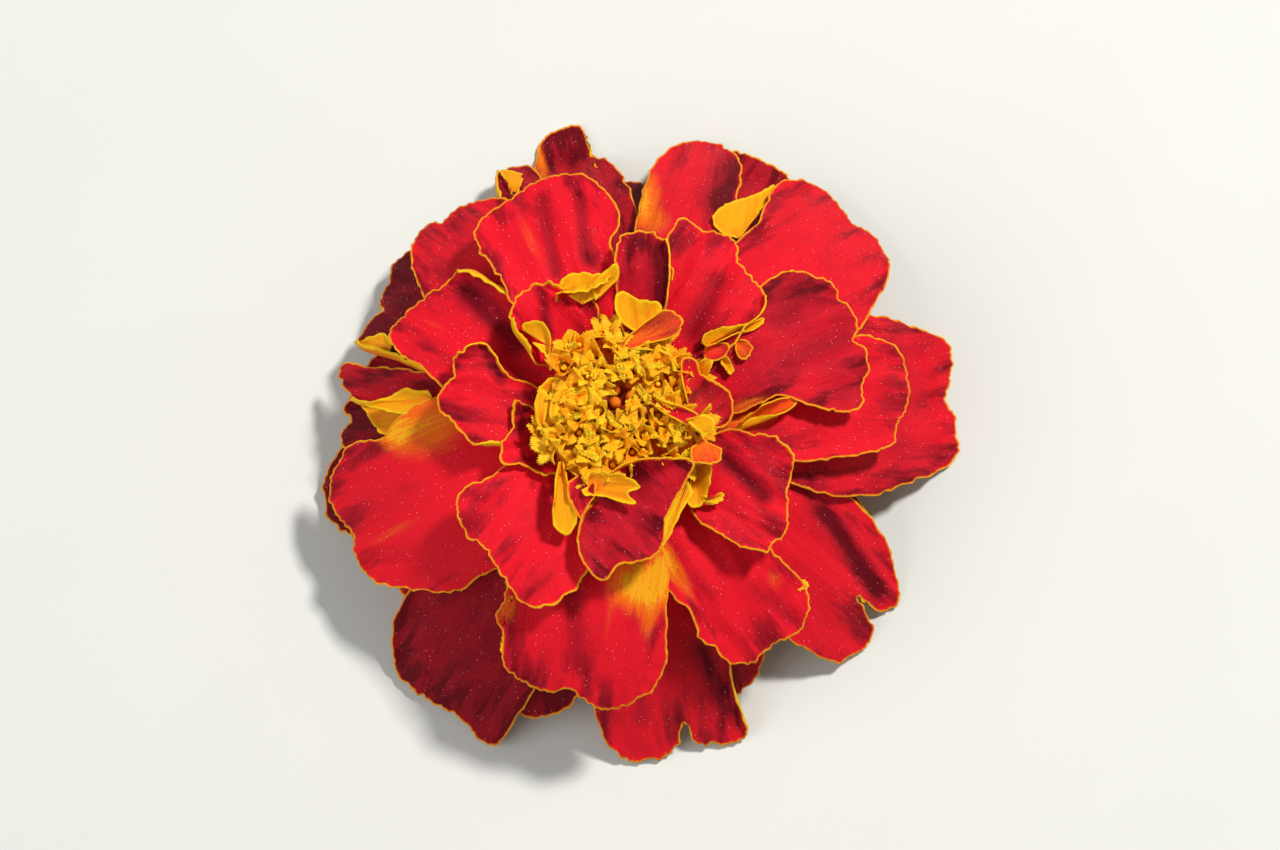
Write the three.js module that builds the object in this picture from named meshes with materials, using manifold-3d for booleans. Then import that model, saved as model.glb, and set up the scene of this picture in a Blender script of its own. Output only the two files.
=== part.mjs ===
// A double French marigold flower head, picked with a short cut of its stalk.
// It stands on the flat cut, face up, with its lowest petals drooping to the surface.
// Millimetres, +Z up, the flower's axis upright.
import * as THREE from 'three';
import { mergeVertices } from 'three/addons/utils/BufferGeometryUtils.js';
import Module from 'manifold-3d';

const wasm = await Module();
wasm.setup();

// Driving dimensions.
const STALK_RADIUS = 1.6; // the cut stalk, at the surface
const STALK_HEIGHT = 1.8; // up to where it flares into the cup
const CUP_TOP = 12.4; // rim of the green cup between its teeth
const CUP_RADIUS = 6.6; // outside, at the rim
const CUP_WALL = 0.6;
const CUP_FLOOR = 4.2; // receptacle inside the cup
const CUP_SIDES = 48;
const TOOTH_COUNT = 8;
const TOOTH_HEIGHT = 0.5;
const RIB_DEPTH = 0.14;
const GAP = 0.35; // between pieces that only press on each other

const CORE_RADIUS = 5.7; // the packed claws of the ray florets, above the cup
const CORE_TOP = 16.1;
const CLAW_RADIUS = 5.6; // where the petals leave the core
const ROOT_DEPTH = 1.6; // how far a petal's claw is sunk in the core
const BLADE = 0.6; // petal thickness
const FIRST_LAYER = 14.1; // height of the lowest whorl where it leaves the core
const LONG_PETAL = 12; // petals longer than this have more cells
const LONG_CELLS = { across: 8, along: [0, 0.3, 0.58, 0.82, 1] };
const SHORT_CELLS = { across: 6, along: [0, 0.4, 0.75, 1] };
const RIM_STEPS = 160; // points on the smooth curve through a rim
const CLAW_WIDTH = 0.2; // a petal's width at its claw, as a share of its side's first width
const CLAW_SHARE = 0.85; // the share of the way there by which that width is reached
const NARROW_TOP = 0.45; // a side ends at the latest where the petal is this much of its width
const CURL_SHARE = 0.6; // how much of a margin's real curl these thick blades take

const DISC_RADIUS = 7.3;
const DISC_FOOT = CORE_TOP + GAP;
const DISC_EDGE = 17.9; // height of the disc's widest ring
const DISC_TOP = 19.0; // crown of the disc's core, under its florets
const FLORET_COUNT = 48;
const FLORET_HEIGHT = 1.5;
const FLORET_RADIUS = 1.1;
const FLORET_SINK = 0.9;

const WELD = 0.00013; // no round size falls between two of these steps
const FINAL_WELD = 0.001; // points closer than this are one point in the finished solids
const SLIVER = 0.03; // joins leave nothing thinner than this behind
const TURN = Math.PI * 2;
const DEG = Math.PI / 180;

// A seeded draw from 0 to 1, the same at each run.
function seededDraw(seed) {
  let state = seed;
  return () => {
    state = (Math.imul(state, 1664525) + 1013904223) >>> 0;
    return state / 4294967296;
  };
}

const smoothStep = (x) => THREE.MathUtils.smoothstep(x, 0, 1);

// Solids and meshes.
function solidOf(geometry, weld = WELD) {
  geometry.deleteAttribute('normal');
  geometry.deleteAttribute('uv');
  const merged = mergeVertices(geometry, weld);
  return new wasm.Manifold(new wasm.Mesh({
    numProp: 3,
    vertProperties: new Float32Array(merged.attributes.position.array),
    triVerts: new Uint32Array(merged.index.array),
  }));
}

function geometryOf(solid) {
  const { vertProperties, triVerts } = solid.getMesh();
  const geometry = new THREE.BufferGeometry();
  geometry.setAttribute('position', new THREE.Float32BufferAttribute(vertProperties, 3));
  geometry.setIndex(new THREE.BufferAttribute(new Uint32Array(triVerts), 1));
  return geometry;
}

// The one outer body of a fused solid: sealed hollows are filled, scraps and the
// slivers along the joins dropped. Welding can seal another hollow, so it is done
// until a single body is left.
function wholeBody(solid) {
  let body = solid;
  let parts = [];
  do {
    parts = solidOf(geometryOf(body.simplify(SLIVER)), FINAL_WELD).decompose();
    body = parts.reduce((a, b) => (a.volume() > b.volume() ? a : b));
  } while (parts.length > 1);
  return body;
}

function meshOf(name, solid, color, roughness) {
  const geometry = geometryOf(solid);
  geometry.computeVertexNormals();
  const material = new THREE.MeshStandardMaterial({ color, roughness, metalness: 0 });
  const mesh = new THREE.Mesh(geometry, material);
  mesh.name = name;
  return mesh;
}

// A turned solid from [radius, height] pairs, about the flower's axis.
function turned(profile, sides) {
  const points = profile.map(([radius, height]) => new THREE.Vector2(radius, height));
  const geometry = new THREE.LatheGeometry(points, sides);
  geometry.rotateX(Math.PI / 2);
  return geometry;
}

// The green cup: a cut stalk that flares into a ribbed, toothed wall.
function involucre() {
  const inside = CUP_RADIUS - CUP_WALL;
  const geometry = turned([
    [0, 0], [STALK_RADIUS, 0], [STALK_RADIUS * 0.94, STALK_HEIGHT * 0.6],
    [STALK_RADIUS * 1.25, STALK_HEIGHT], [CUP_RADIUS * 0.44, 2.7],
    [CUP_RADIUS * 0.66, 4.2], [CUP_RADIUS * 0.84, 6.4], [CUP_RADIUS * 0.95, 9],
    [CUP_RADIUS, 11], [CUP_RADIUS, CUP_TOP],
    [inside, CUP_TOP], [inside, 11], [inside * 0.94, 9], [inside * 0.8, 6.4],
    [inside * 0.62, CUP_FLOOR + 0.5], [inside * 0.4, CUP_FLOOR], [0, CUP_FLOOR],
  ], CUP_SIDES);
  const at = geometry.attributes.position;
  for (let i = 0; i < at.count; i += 1) {
    const [x, y, z] = [at.getX(i), at.getY(i), at.getZ(i)];
    const radius = Math.hypot(x, y);
    const turn = Math.atan2(y, x);
    const outer = z > STALK_HEIGHT && radius > CUP_RADIUS * 0.43 && z < CUP_TOP - 0.1;
    const wallRadius = inside * (0.55 + 0.45 * smoothStep((z - CUP_FLOOR) / 5));
    if (outer && radius > wallRadius + 0.3) {
      const rib = 1 - RIB_DEPTH * (0.5 - 0.5 * Math.cos(turn * TOOTH_COUNT)) / radius;
      at.setXY(i, x * rib, y * rib);
    }
    if (z > CUP_TOP - 0.05) {
      const tooth = Math.max(0, Math.cos(turn * TOOTH_COUNT)) ** 2;
      at.setZ(i, z + TOOTH_HEIGHT * tooth);
    }
  }
  return solidOf(geometry);
}

// The layers of the bloom are nested bowls: the height of one at a radius.
// The lowest droops to the surface, and each one above it rises more steeply.
function layerHeight(layer, radius) {
  const out = Math.max(radius, 5) - 6;
  const rise = -0.15 + 0.24 * layer + 0.02 * layer * layer;
  const droop = 0.0285 + 0.002 * layer + 0.001 * layer * layer;
  return FIRST_LAYER + 0.5 * layer + rise * out - droop * out * out;
}

// A petal that droops below the surface lies along it instead.
function laidDown(height) {
  const low = BLADE / 2;
  const soft = 0.35;
  if (height > low + 8 * soft) return height;
  return low + soft * Math.log1p(Math.exp((height - low) / soft));
}

// The petals. Each leaves the core at the bearing `from` and points to the bearing
// `to`, in degrees. Its rim is a list of [across, along] in mm in its own frame,
// from its anticlockwise side, over its end, to its clockwise side. `cup` lifts both
// margins, `pleat` is the depth of its folds, `curl` turns a margin up by
// [side, share of the half width, degrees], and `hook` rolls its end up by
// [share of the length, degrees].
const PETALS = [
  // the upper left fan, and the layers behind it
  { layer: 2.2, from: 108, to: 111, cup: 0.3, pleat: 0.35,
    rim: [[5.2, 8], [5.8, 12.4], [4.6, 13.8], [2.5, 14.4], [-0.2, 15.2], [-3, 14.9],
      [-4.5, 13.8], [-5.5, 11.2], [-5.4, 9]] },
  { layer: 0.1, from: 97, to: 100, cup: 0.2, pleat: 0.3,
    rim: [[4, 14], [3.4, 18.5], [2.1, 22.1], [0.2, 22.8], [-1.4, 22.6], [-1.9, 19.8],
      [-3.1, 18.6], [-3.9, 16.3], [-4.3, 13.5]] },
  { layer: 0.5, from: 112, to: 112, cup: 0.3, pleat: 0.2, curl: [1, 0.4, 150],
    rim: [[2.6, 15], [2.2, 18], [0.9, 20.2], [-1.4, 19.6], [-2.2, 17], [-2.4, 14]] },
  { layer: 1.0, from: 132, to: 131, cup: 0.2, pleat: 0.3,
    rim: [[5.6, 10.5], [4.9, 13.4], [3.5, 16.7], [2.1, 18.2], [-0.3, 18.4],
      [-0.6, 17.7], [-2.2, 17.9], [-5.3, 16], [-6.2, 12]] },
  { layer: 0.2, from: 149, to: 147.5, cup: 0.2, pleat: 0.3, curl: [1, 0.25, 140],
    rim: [[5.2, 13], [5.4, 17.3], [2, 17.6], [1.2, 17], [1, 17.8], [-1.1, 18.3],
      [-3, 18.9], [-4.5, 18.3], [-5.2, 14]] },
  { layer: 1.6, from: 153, to: 150, cup: 0.3, pleat: 0.3, curl: [-1, 0.3, 150],
    rim: [[4.7, 8], [4.1, 10.7], [4, 12.5], [2.9, 14.2], [-0.7, 13.5], [-2.4, 12.5],
      [-4.4, 12.1], [-5.4, 11], [-5.2, 8.6]] },
  // the left side
  { layer: 0.6, from: 170, to: 167, cup: -0.3, pleat: 0.1, curl: [1, 0.35, 150],
    rim: [[2.2, 12], [2.5, 16], [1.2, 17.2], [-0.4, 18.5], [-1.3, 18.3], [-1.2, 16],
      [-1.1, 12]] },
  { layer: 0.2, from: 177, to: 176, cup: 0.2, pleat: 0.3,
    rim: [[3, 12], [2.6, 15.5], [1.8, 17.3], [0.7, 17.6], [-0.4, 16.8], [-1.4, 17.6],
      [-2.2, 16.7], [-3, 13]] },
  { layer: 0, from: 192, to: 190, cup: 0.2, pleat: 0.3,
    rim: [[5, 13], [4.3, 16.5], [2.9, 18.1], [1.4, 19.3], [-0.8, 19.4], [-2.4, 18.9],
      [-3.8, 17.4], [-4.8, 14]] },
  { layer: 1.0, from: 204, to: 200, cup: 0.2, pleat: 0.45,
    rim: [[7.4, 9], [7.8, 10.8], [7.4, 12.4], [6.5, 14], [4.9, 16.4], [3.4, 17.7],
      [1.4, 18], [0.1, 17.6], [-2.5, 18.4], [-4.6, 18.1], [-6.7, 15.6], [-6, 13],
      [-6.7, 11.5], [-7.4, 9.6]] },
  { layer: 2.2, from: 172, to: 173, cup: 0.4, pleat: 0.3, curl: [-1, 0.3, 140],
    rim: [[4.1, 3.8], [4.3, 5], [3.8, 5.9], [2.2, 7.6], [1.3, 8.7], [-0.1, 8.9],
      [-1.6, 7.9], [-2.8, 8.1], [-5.4, 5.6]] },
  { layer: 2.9, from: 194, to: 199, cup: 0.4, pleat: 0.2,
    rim: [[3.1, 1.2], [2.9, 2.1], [1.8, 3.1], [0.9, 4.5], [-0.3, 4.3], [-1.9, 2.6],
      [-3.4, 1.6]] },
  // the inner petals above the disc
  { layer: 3.1, from: 122, to: 127, cup: 0.9, pleat: 0.3, curl: [1, 0.3, 150],
    rim: [[3.8, 3.2], [3.6, 5], [1.1, 6.6], [-0.5, 6.5], [-1.6, 5.5], [-3.3, 2.8]] },
  { layer: 3.5, from: 104, to: 106, cup: 0.2, pleat: 0.2, hook: [0.5, 150],
    rim: [[2.6, 3], [2.3, 5.6], [0.6, 6.6], [-1.6, 6.2], [-2.6, 3.6]] },
  { layer: 3.0, from: 80, to: 82, cup: 0.3, pleat: 0.2, curl: [-1, 0.25, 120],
    rim: [[1.9, 4.5], [2.3, 7], [2.1, 8.2], [1.3, 8.6], [0.2, 8.8], [-1.8, 8],
      [-2.4, 5.6]] },
  { layer: 2.2, from: 56, to: 58, cup: 0.3, pleat: 0.35, curl: [-1, 0.15, 90],
    rim: [[3.9, 6.5], [4.7, 9.2], [4.6, 10.3], [3.7, 10.7], [2.6, 10.6], [1.3, 11.2],
      [-0.4, 11.1], [-1.1, 9.9], [-2.6, 9.3], [-4.9, 8.1], [-5.2, 6.8], [-4.6, 5.4]] },
  // the back and the upper right
  { layer: 0.6, from: 78, to: 76, cup: 0.2, pleat: 0.3,
    rim: [[2.9, 11], [3.2, 14.1], [3.1, 17.9], [2.2, 20.1], [0.2, 21.9], [-2.4, 21.7],
      [-3.7, 20.3], [-4.4, 16]] },
  { layer: 0.2, from: 65, to: 65, cup: 0.2, pleat: 0.3, curl: [1, 0.5, 170],
    rim: [[5.2, 14], [5, 20], [2.8, 21.8], [-1.5, 22], [-2.8, 21.6], [-4, 17]] },
  { layer: 1.0, from: 43, to: 44, cup: 0.2, pleat: 0.35,
    rim: [[4.6, 12], [4.9, 14.5], [6.5, 17.8], [6.6, 19.8], [4.2, 21.9], [2, 21.6],
      [-0.3, 21.5], [-1.1, 21.9], [-3.4, 21.6], [-5, 20.3], [-6, 18], [-7.2, 14.3]] },
  { layer: 2.0, from: 22, to: 22.5, cup: 0.2, pleat: 0.35, curl: [-1, 0.16, 140],
    rim: [[5.4, 8], [6.1, 11.2], [4.7, 13.5], [3.6, 14.4], [2.7, 14.2], [1.3, 14.9],
      [-0.3, 14.6], [-0.9, 14], [-2.1, 14.6], [-3.3, 14.3], [-4.7, 13.2], [-6.3, 12.2],
      [-6.2, 9.6]] },
  { layer: 1.3, from: 6, to: 7.5, cup: 0.2, pleat: 0.35,
    rim: [[4.6, 12.5], [5.1, 14.9], [4.9, 16.2], [4, 17.5], [2.5, 18], [0.9, 18],
      [-1, 17.5], [-2.4, 16.4], [-3.9, 15.8], [-4.8, 13], [-5, 10]] },
  { layer: 0.3, from: 7, to: 10, cup: 0.2, pleat: 0.35,
    rim: [[7.6, 14.5], [7.3, 16.4], [6.5, 19.6], [5.6, 21.7], [4.5, 22.9], [2.3, 22.8],
      [-0.6, 21.6], [-1.7, 22.2], [-3.2, 22], [-4.8, 21.7], [-5.8, 20.7], [-6.8, 18.2],
      [-8.1, 14]] },
  // the lower right
  { layer: 2.2, from: 328, to: 329, cup: 0.5, pleat: 0.35,
    rim: [[3.9, 3.8], [4.6, 5.3], [4.5, 6.5], [4.1, 7.5], [3, 8.3], [1.9, 8.5],
      [0.5, 9.3], [-1.3, 10.2], [-2.7, 9.7], [-3.4, 9.8], [-4.2, 8], [-4.2, 5.4]] },
  { layer: 0, from: 329, to: 328, cup: 0.3, pleat: 0.3,
    rim: [[4.9, 10], [5.6, 12.6], [4.9, 16.2], [4.1, 17.8], [3.2, 18.9], [1.3, 20.3],
      [0, 19.6], [-0.5, 17.3], [-1.6, 19.7], [-2.8, 20.1], [-4.1, 19.7], [-5.9, 18.5],
      [-6.7, 15]] },
  { layer: 1.2, from: 306, to: 304, cup: 0.2, pleat: 0.35,
    rim: [[3.9, 9.4], [4.5, 11.3], [4.9, 13], [4.3, 14.6], [2.6, 15.7], [-0.1, 15.5],
      [-1.7, 15.8], [-3.6, 14.8], [-3.8, 13.4], [-4.5, 12.2], [-4.1, 10], [-4.7, 8]] },
  // the bottom and the lower left
  { layer: 1.6, from: 260, to: 261, cup: 0.2, pleat: 0.35,
    rim: [[5.8, 8.5], [6.2, 10.5], [6.4, 13.3], [5.7, 15], [4.8, 15.7], [3.1, 16.7],
      [1.3, 16.8], [-1, 15.8], [-1.6, 16.2], [-3.7, 16], [-6.2, 14.8], [-6.6, 12.4],
      [-7.3, 11.6], [-6.9, 10]] },
  { layer: 2.3, from: 232, to: 231, cup: 0.3, pleat: 0.35,
    rim: [[5.7, 5.4], [5.9, 7.6], [5.1, 9.6], [4, 10.7], [2.8, 10.8], [1.3, 10.3],
      [-0.1, 9.9], [-1.6, 9.3], [-3.1, 9.5], [-4.4, 9], [-5.6, 8], [-5.9, 6.8],
      [-4.9, 5]] },
  { layer: 3.1, from: 272, to: 264, cup: 0.9, pleat: 0.3,
    rim: [[4.4, 1.5], [4, 3.4], [2.5, 5.5], [1.4, 6.3], [1, 7.2], [0.4, 8], [-0.4, 8.2],
      [-1.6, 7.8], [-2.3, 6.6], [-2.4, 5.2], [-3, 4.4]] },
  { layer: 0.3, from: 233, to: 232, cup: 0.2, pleat: 0.35,
    rim: [[7, 14], [7.1, 18.6], [6.8, 20.1], [5.3, 20.4], [3.7, 20.1], [1.1, 20.4],
      [-1.3, 20.6], [-3.1, 20.4], [-5.3, 18.2], [-5.9, 16.4], [-5.8, 14]] },
  { layer: 0, from: 253, to: 252, cup: 0.2, pleat: 0.3,
    rim: [[3.6, 13], [2.8, 16], [0.9, 17.6], [-1, 17.9], [-3, 17.5], [-3.8, 14]] },
  { layer: 0, from: 279, to: 279, cup: 0.2, pleat: 0.35, curl: [1, 0.12, 120],
    rim: [[6, 13.5], [6, 15.5], [6.6, 18], [6.8, 18.9], [5.4, 19.7], [3.6, 19.5],
      [2.1, 19.4], [1.3, 17.6], [0.8, 19.2], [-0.8, 19.9], [-3.2, 19.9], [-4.7, 18.9],
      [-5.9, 15.4], [-6, 13]] },
  // small ones close to the disc, right and lower right
  { layer: 3.3, from: 355, to: 3, cup: 0.4, pleat: 0.2,
    rim: [[2.2, 1.4], [2.8, 2.5], [1, 3.2], [-0.6, 3.1], [-1.9, 2.5], [-2, 1.3]] },
  { layer: 3.2, from: 322, to: 318, cup: 0.4, pleat: 0.1,
    rim: [[1.6, 1], [1.5, 2.2], [0.8, 3.3], [0, 4.2], [-1.2, 4.5], [-1.7, 4.1], [-1, 2]] },
];

// The lowest whorl, under the others, fills the bloom's underside.
const UNDER_LAYER = -0.3;
const UNDER_COUNT = 9;
const UNDER_RIM = [[3.6, 9], [4.4, 12.4], [3.4, 15.2], [1.2, 16.4], [-1.2, 16.2],
  [-3.3, 14.9], [-4.4, 12], [-3.5, 9]];

function underPetals() {
  const draw = seededDraw(7);
  return Array.from({ length: UNDER_COUNT }, (_, i) => {
    const bearing = (i * 360) / UNDER_COUNT + 12 + 8 * (draw() - 0.5);
    const length = 0.9 + 0.16 * draw();
    return {
      layer: UNDER_LAYER, from: bearing, to: bearing, cup: 0.2, pleat: 0.3,
      rim: UNDER_RIM.map(([across, along]) => [across, along * length]),
    };
  });
}

// How many steps along an outline, from its claw, before it turns over into the top.
function sideEnd(points) {
  const lower = points.slice(0, points.length / 2);
  const widest = Math.max(...lower.map(([across]) => Math.abs(across)));
  let k = 0;
  while (k + 1 < points.length) {
    const [[x0, y0], [x1, y1]] = [points[k], points[k + 1]];
    if (y1 - y0 < Math.abs(x1 - x0) || Math.abs(x1) < NARROW_TOP * widest) break;
    k += 1;
  }
  return k;
}

// The outline of a petal: a smooth curve through its rim's points, parted into its
// top and its two sides. Each side is a list of [across, along] from the claw's end.
function outlineOf(rim) {
  const curve = new THREE.CatmullRomCurve3(
    rim.map(([across, along]) => new THREE.Vector3(across, along, 0)), false, 'centripetal',
  );
  const points = curve.getSpacedPoints(RIM_STEPS).map(({ x, y }) => [x, y]);
  const first = sideEnd(points);
  const last = RIM_STEPS - sideEnd([...points].reverse());
  return {
    top: points.slice(first, last + 1),
    left: points.slice(0, first + 1),
    right: points.slice(last).reverse(),
  };
}

// How far a side of the petal stands out at a distance along it.
function sideWidth(side, along) {
  const [firstAcross, firstAlong] = side[0];
  if (along < firstAlong) {
    const step = Math.max(0, along / firstAlong) / CLAW_SHARE;
    const spread = CLAW_WIDTH + (1 - CLAW_WIDTH) * Math.sin((Math.PI / 2) * Math.min(1, step));
    return Math.abs(firstAcross) * spread;
  }
  const next = side.findIndex(([, end]) => end > along);
  if (next < 1) return Math.abs(side[side.length - 1][0]);
  const [[x0, y0], [x1, y1]] = [side[next - 1], side[next]];
  return Math.abs(x0 + ((x1 - x0) * (along - y0)) / (y1 - y0));
}

// The middle surface of a petal: columns of points, from claw to top, across its width.
// They follow the sides in proportion, so that no cell folds over another.
function petalGrid(petal) {
  const outline = outlineOf(petal.rim);
  const ends = outline.top.map(([, end]) => end);
  const length = Math.max(...ends);
  const low = Math.min(...ends);
  const cells = length > LONG_PETAL ? LONG_CELLS : SHORT_CELLS;
  const widthAt = (x, s) => sideWidth(x > 0 ? outline.left : outline.right, s);
  const claw = new THREE.Vector2(CLAW_RADIUS, 0).rotateAround(new THREE.Vector2(), petal.from * DEG);
  const aim = new THREE.Vector2(Math.cos(petal.to * DEG), Math.sin(petal.to * DEG));
  const ahead = claw.dot(aim);
  const reach = ahead + Math.sqrt(length ** 2 - claw.lengthSq() + ahead ** 2);
  const along = aim.clone().multiplyScalar(reach).sub(claw).divideScalar(length);
  const across = new THREE.Vector2(-along.y, along.x);
  return Array.from({ length: cells.across + 1 }, (_, k) => {
    const [side, end] = outline.top[Math.round((k * (outline.top.length - 1)) / cells.across)];
    const u = side / widthAt(side, end);
    return cells.along.map((step) => {
      let s = low * step + (end - low) * step * step;
      const width = widthAt(side, s);
      let x = u * width;
      let lift = petal.cup * u * u * step - 0.5 * petal.pleat * Math.cos(3 * Math.PI * u) * step;
      if (petal.curl) {
        const [hand, share, degrees] = petal.curl;
        const turn = degrees * DEG * CURL_SHARE * smoothStep((step - 0.2) / 0.4) + 1e-3;
        const radius = (width * share) / turn;
        const over = hand * x - width * (1 - share);
        if (over > 0) {
          x = hand * (width * (1 - share) + radius * Math.sin(over / radius));
          lift += radius * (1 - Math.cos(over / radius));
        }
      }
      if (petal.hook) {
        const [share, degrees] = petal.hook;
        const radius = (length * share) / (degrees * DEG * CURL_SHARE);
        const over = s - length * (1 - share);
        if (over > 0) {
          s = length * (1 - share) + radius * Math.sin(over / radius);
          lift += radius * (1 - Math.cos(over / radius));
        }
      }
      if (step === 0) s = -ROOT_DEPTH;
      const px = claw.x + along.x * s + across.x * x;
      const py = claw.y + along.y * s + across.y * x;
      const pz = laidDown(layerHeight(petal.layer, Math.hypot(px, py)) + lift);
      return new THREE.Vector3(px, py, pz);
    });
  });
}

// A closed blade about a grid of points, its two faces split into triangles alike.
function blade(grid, thickness) {
  const [columns, rows] = [grid.length, grid[0].length];
  const points = grid.flat();
  const id = (i, j) => i * rows + j;
  const faces = [];
  for (let i = 0; i < columns - 1; i += 1) {
    for (let j = 0; j < rows - 1; j += 1) {
      const [a, b, c, d] = [id(i, j), id(i, j + 1), id(i + 1, j + 1), id(i + 1, j)];
      faces.push([a, c, b], [a, d, c]);
    }
  }
  const normals = points.map(() => new THREE.Vector3());
  const triangle = new THREE.Triangle();
  for (const face of faces) {
    const normal = triangle.setFromPointsAndIndices(points, ...face).getNormal(new THREE.Vector3());
    face.forEach((k) => normals[k].add(normal));
  }
  normals.forEach((normal) => normal.normalize());
  const upper = points.map((p, k) => p.clone().addScaledVector(normals[k], thickness / 2));
  const lower = points.map((p, k) => p.clone().addScaledVector(normals[k], -thickness / 2));
  lower.forEach((p) => {
    if (p.z < 0.12) p.z = 0;
  });
  const count = points.length;
  const index = faces.flatMap(([a, b, c]) => [a, b, c, count + a, count + c, count + b]);
  const edge = [];
  for (let i = 0; i < columns - 1; i += 1) edge.push(id(i, 0));
  for (let j = 0; j < rows - 1; j += 1) edge.push(id(columns - 1, j));
  for (let i = columns - 1; i > 0; i -= 1) edge.push(id(i, rows - 1));
  for (let j = rows - 1; j > 0; j -= 1) edge.push(id(0, j));
  edge.forEach((a, k) => {
    const b = edge[(k + 1) % edge.length];
    index.push(b, a, count + a, b, count + a, count + b);
  });
  const geometry = new THREE.BufferGeometry();
  const all = [...upper, ...lower].flatMap((p) => [p.x, p.y, p.z]);
  geometry.setAttribute('position', new THREE.Float32BufferAttribute(all, 3));
  geometry.setIndex(index);
  return solidOf(geometry);
}

// The red ray florets: their claws packed in the cup, and all their blades.
function rayFlorets() {
  const inside = CUP_RADIUS - CUP_WALL - GAP;
  let bloom = solidOf(turned([
    [0, CUP_FLOOR + GAP], [inside * 0.36, CUP_FLOOR + GAP],
    [inside * 0.58, CUP_FLOOR + GAP + 0.6], [inside * 0.76, 6.6], [inside * 0.9, 9],
    [inside * 0.97, 11], [CORE_RADIUS, CUP_TOP], [CORE_RADIUS, CORE_TOP - 0.6],
    [CORE_RADIUS - 0.6, CORE_TOP], [0, CORE_TOP],
  ], 20));
  for (const petal of [...underPetals(), ...PETALS]) {
    bloom = bloom.add(blade(petalGrid(petal), BLADE));
  }
  return wholeBody(bloom);
}

// Where the disc's core lies at a radius.
function discHeight(radius) {
  return DISC_EDGE + (DISC_TOP - DISC_EDGE) * (1 - (radius / DISC_RADIUS) ** 2);
}

// A tube floret: a stem that flares into a five-lobed star with a sunk middle.
function floret(radius, height) {
  const lobes = 5;
  const geometry = new THREE.CylinderGeometry(radius, radius * 0.45, height, lobes * 2);
  const at = geometry.attributes.position;
  for (let i = 0; i < at.count; i += 1) {
    const [x, y, z] = [at.getX(i), at.getY(i), at.getZ(i)];
    const notch = Math.cos(Math.atan2(x, z) * lobes) < 0;
    if (y > 0 && notch) at.setXYZ(i, x * 0.55, y - height * 0.12, z * 0.55);
    if (y > 0 && Math.hypot(x, z) < 1e-6) at.setY(i, y - height * 0.22);
  }
  geometry.rotateX(Math.PI / 2);
  return geometry;
}

// The yellow disc: a crowned core covered with tube florets in a spiral.
function discFlorets() {
  const draw = seededDraw(11);
  let disc = solidOf(turned([
    [0, DISC_FOOT], [CORE_RADIUS - 1.4, DISC_FOOT], [CORE_RADIUS - 0.6, DISC_FOOT + 0.4],
    [DISC_RADIUS - 0.5, DISC_EDGE - 0.5], [DISC_RADIUS - 0.1, DISC_EDGE],
    [DISC_RADIUS * 0.75, discHeight(DISC_RADIUS * 0.75)],
    [DISC_RADIUS * 0.4, discHeight(DISC_RADIUS * 0.4)], [0, DISC_TOP],
  ], 20));
  const goldenAngle = TURN * 0.381966;
  for (let i = 0; i < FLORET_COUNT; i += 1) {
    const radius = DISC_RADIUS * 0.94 * Math.sqrt((i + 0.5) / FLORET_COUNT);
    const turn = i * goldenAngle + 0.25 * (draw() - 0.5);
    const lean = (radius / DISC_RADIUS) * 32 * DEG;
    const size = FLORET_RADIUS * (0.9 + 0.25 * draw());
    const height = FLORET_HEIGHT + FLORET_SINK + 0.5 * draw();
    const geometry = floret(size, height);
    geometry.rotateZ(draw() * TURN);
    geometry.translate(0, 0, height / 2 - FLORET_SINK);
    geometry.rotateY(lean);
    geometry.rotateZ(turn);
    geometry.translate(
      radius * Math.cos(turn), radius * Math.sin(turn), discHeight(radius),
    );
    disc = disc.add(solidOf(geometry));
  }
  return wholeBody(disc);
}

const flower = new THREE.Group();
flower.name = 'marigold_flower';
flower.add(
  meshOf('involucre', involucre(), 0x6e8f3c, 0.6),
  meshOf('ray_florets', rayFlorets(), 0xd0202c, 0.75),
  meshOf('disc_florets', discFlorets(), 0xe0a51c, 0.8),
);

// The origin is at the middle of the footprint, on the surface.
const box = new THREE.Box3().setFromObject(flower);
const middle = box.getCenter(new THREE.Vector3());
flower.position.set(-middle.x, -middle.y, -box.min.z);
flower.updateMatrixWorld(true);

export default flower;
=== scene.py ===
"""The looks of a double French marigold bloom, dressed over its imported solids.

Lengths in the tables are millimetres about the flower's own axis; meshes are in metres.
"""
import logging
import math
from dataclasses import dataclass
from enum import Enum
from typing import Callable, Sequence

import bmesh
import bpy
from mathutils import Matrix, Vector, kdtree, noise


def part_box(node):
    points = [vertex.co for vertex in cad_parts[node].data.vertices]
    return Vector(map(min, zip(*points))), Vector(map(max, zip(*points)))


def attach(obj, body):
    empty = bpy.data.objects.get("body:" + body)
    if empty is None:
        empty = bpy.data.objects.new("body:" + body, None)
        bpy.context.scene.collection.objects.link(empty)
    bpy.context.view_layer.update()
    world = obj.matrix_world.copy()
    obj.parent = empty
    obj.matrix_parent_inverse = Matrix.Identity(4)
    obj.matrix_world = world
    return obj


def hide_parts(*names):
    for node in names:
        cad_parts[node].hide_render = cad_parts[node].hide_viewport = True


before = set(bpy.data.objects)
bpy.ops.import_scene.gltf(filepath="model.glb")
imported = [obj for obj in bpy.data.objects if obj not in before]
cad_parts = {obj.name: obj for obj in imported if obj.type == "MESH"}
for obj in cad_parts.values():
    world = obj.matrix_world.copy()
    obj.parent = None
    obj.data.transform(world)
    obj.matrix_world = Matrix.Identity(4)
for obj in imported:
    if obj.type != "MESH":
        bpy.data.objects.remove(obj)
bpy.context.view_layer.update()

MM = 0.001
TURN = 2 * math.pi
GOLDEN_ANGLE = TURN * 0.381966
LOG = logging.getLogger("marigold")

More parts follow.
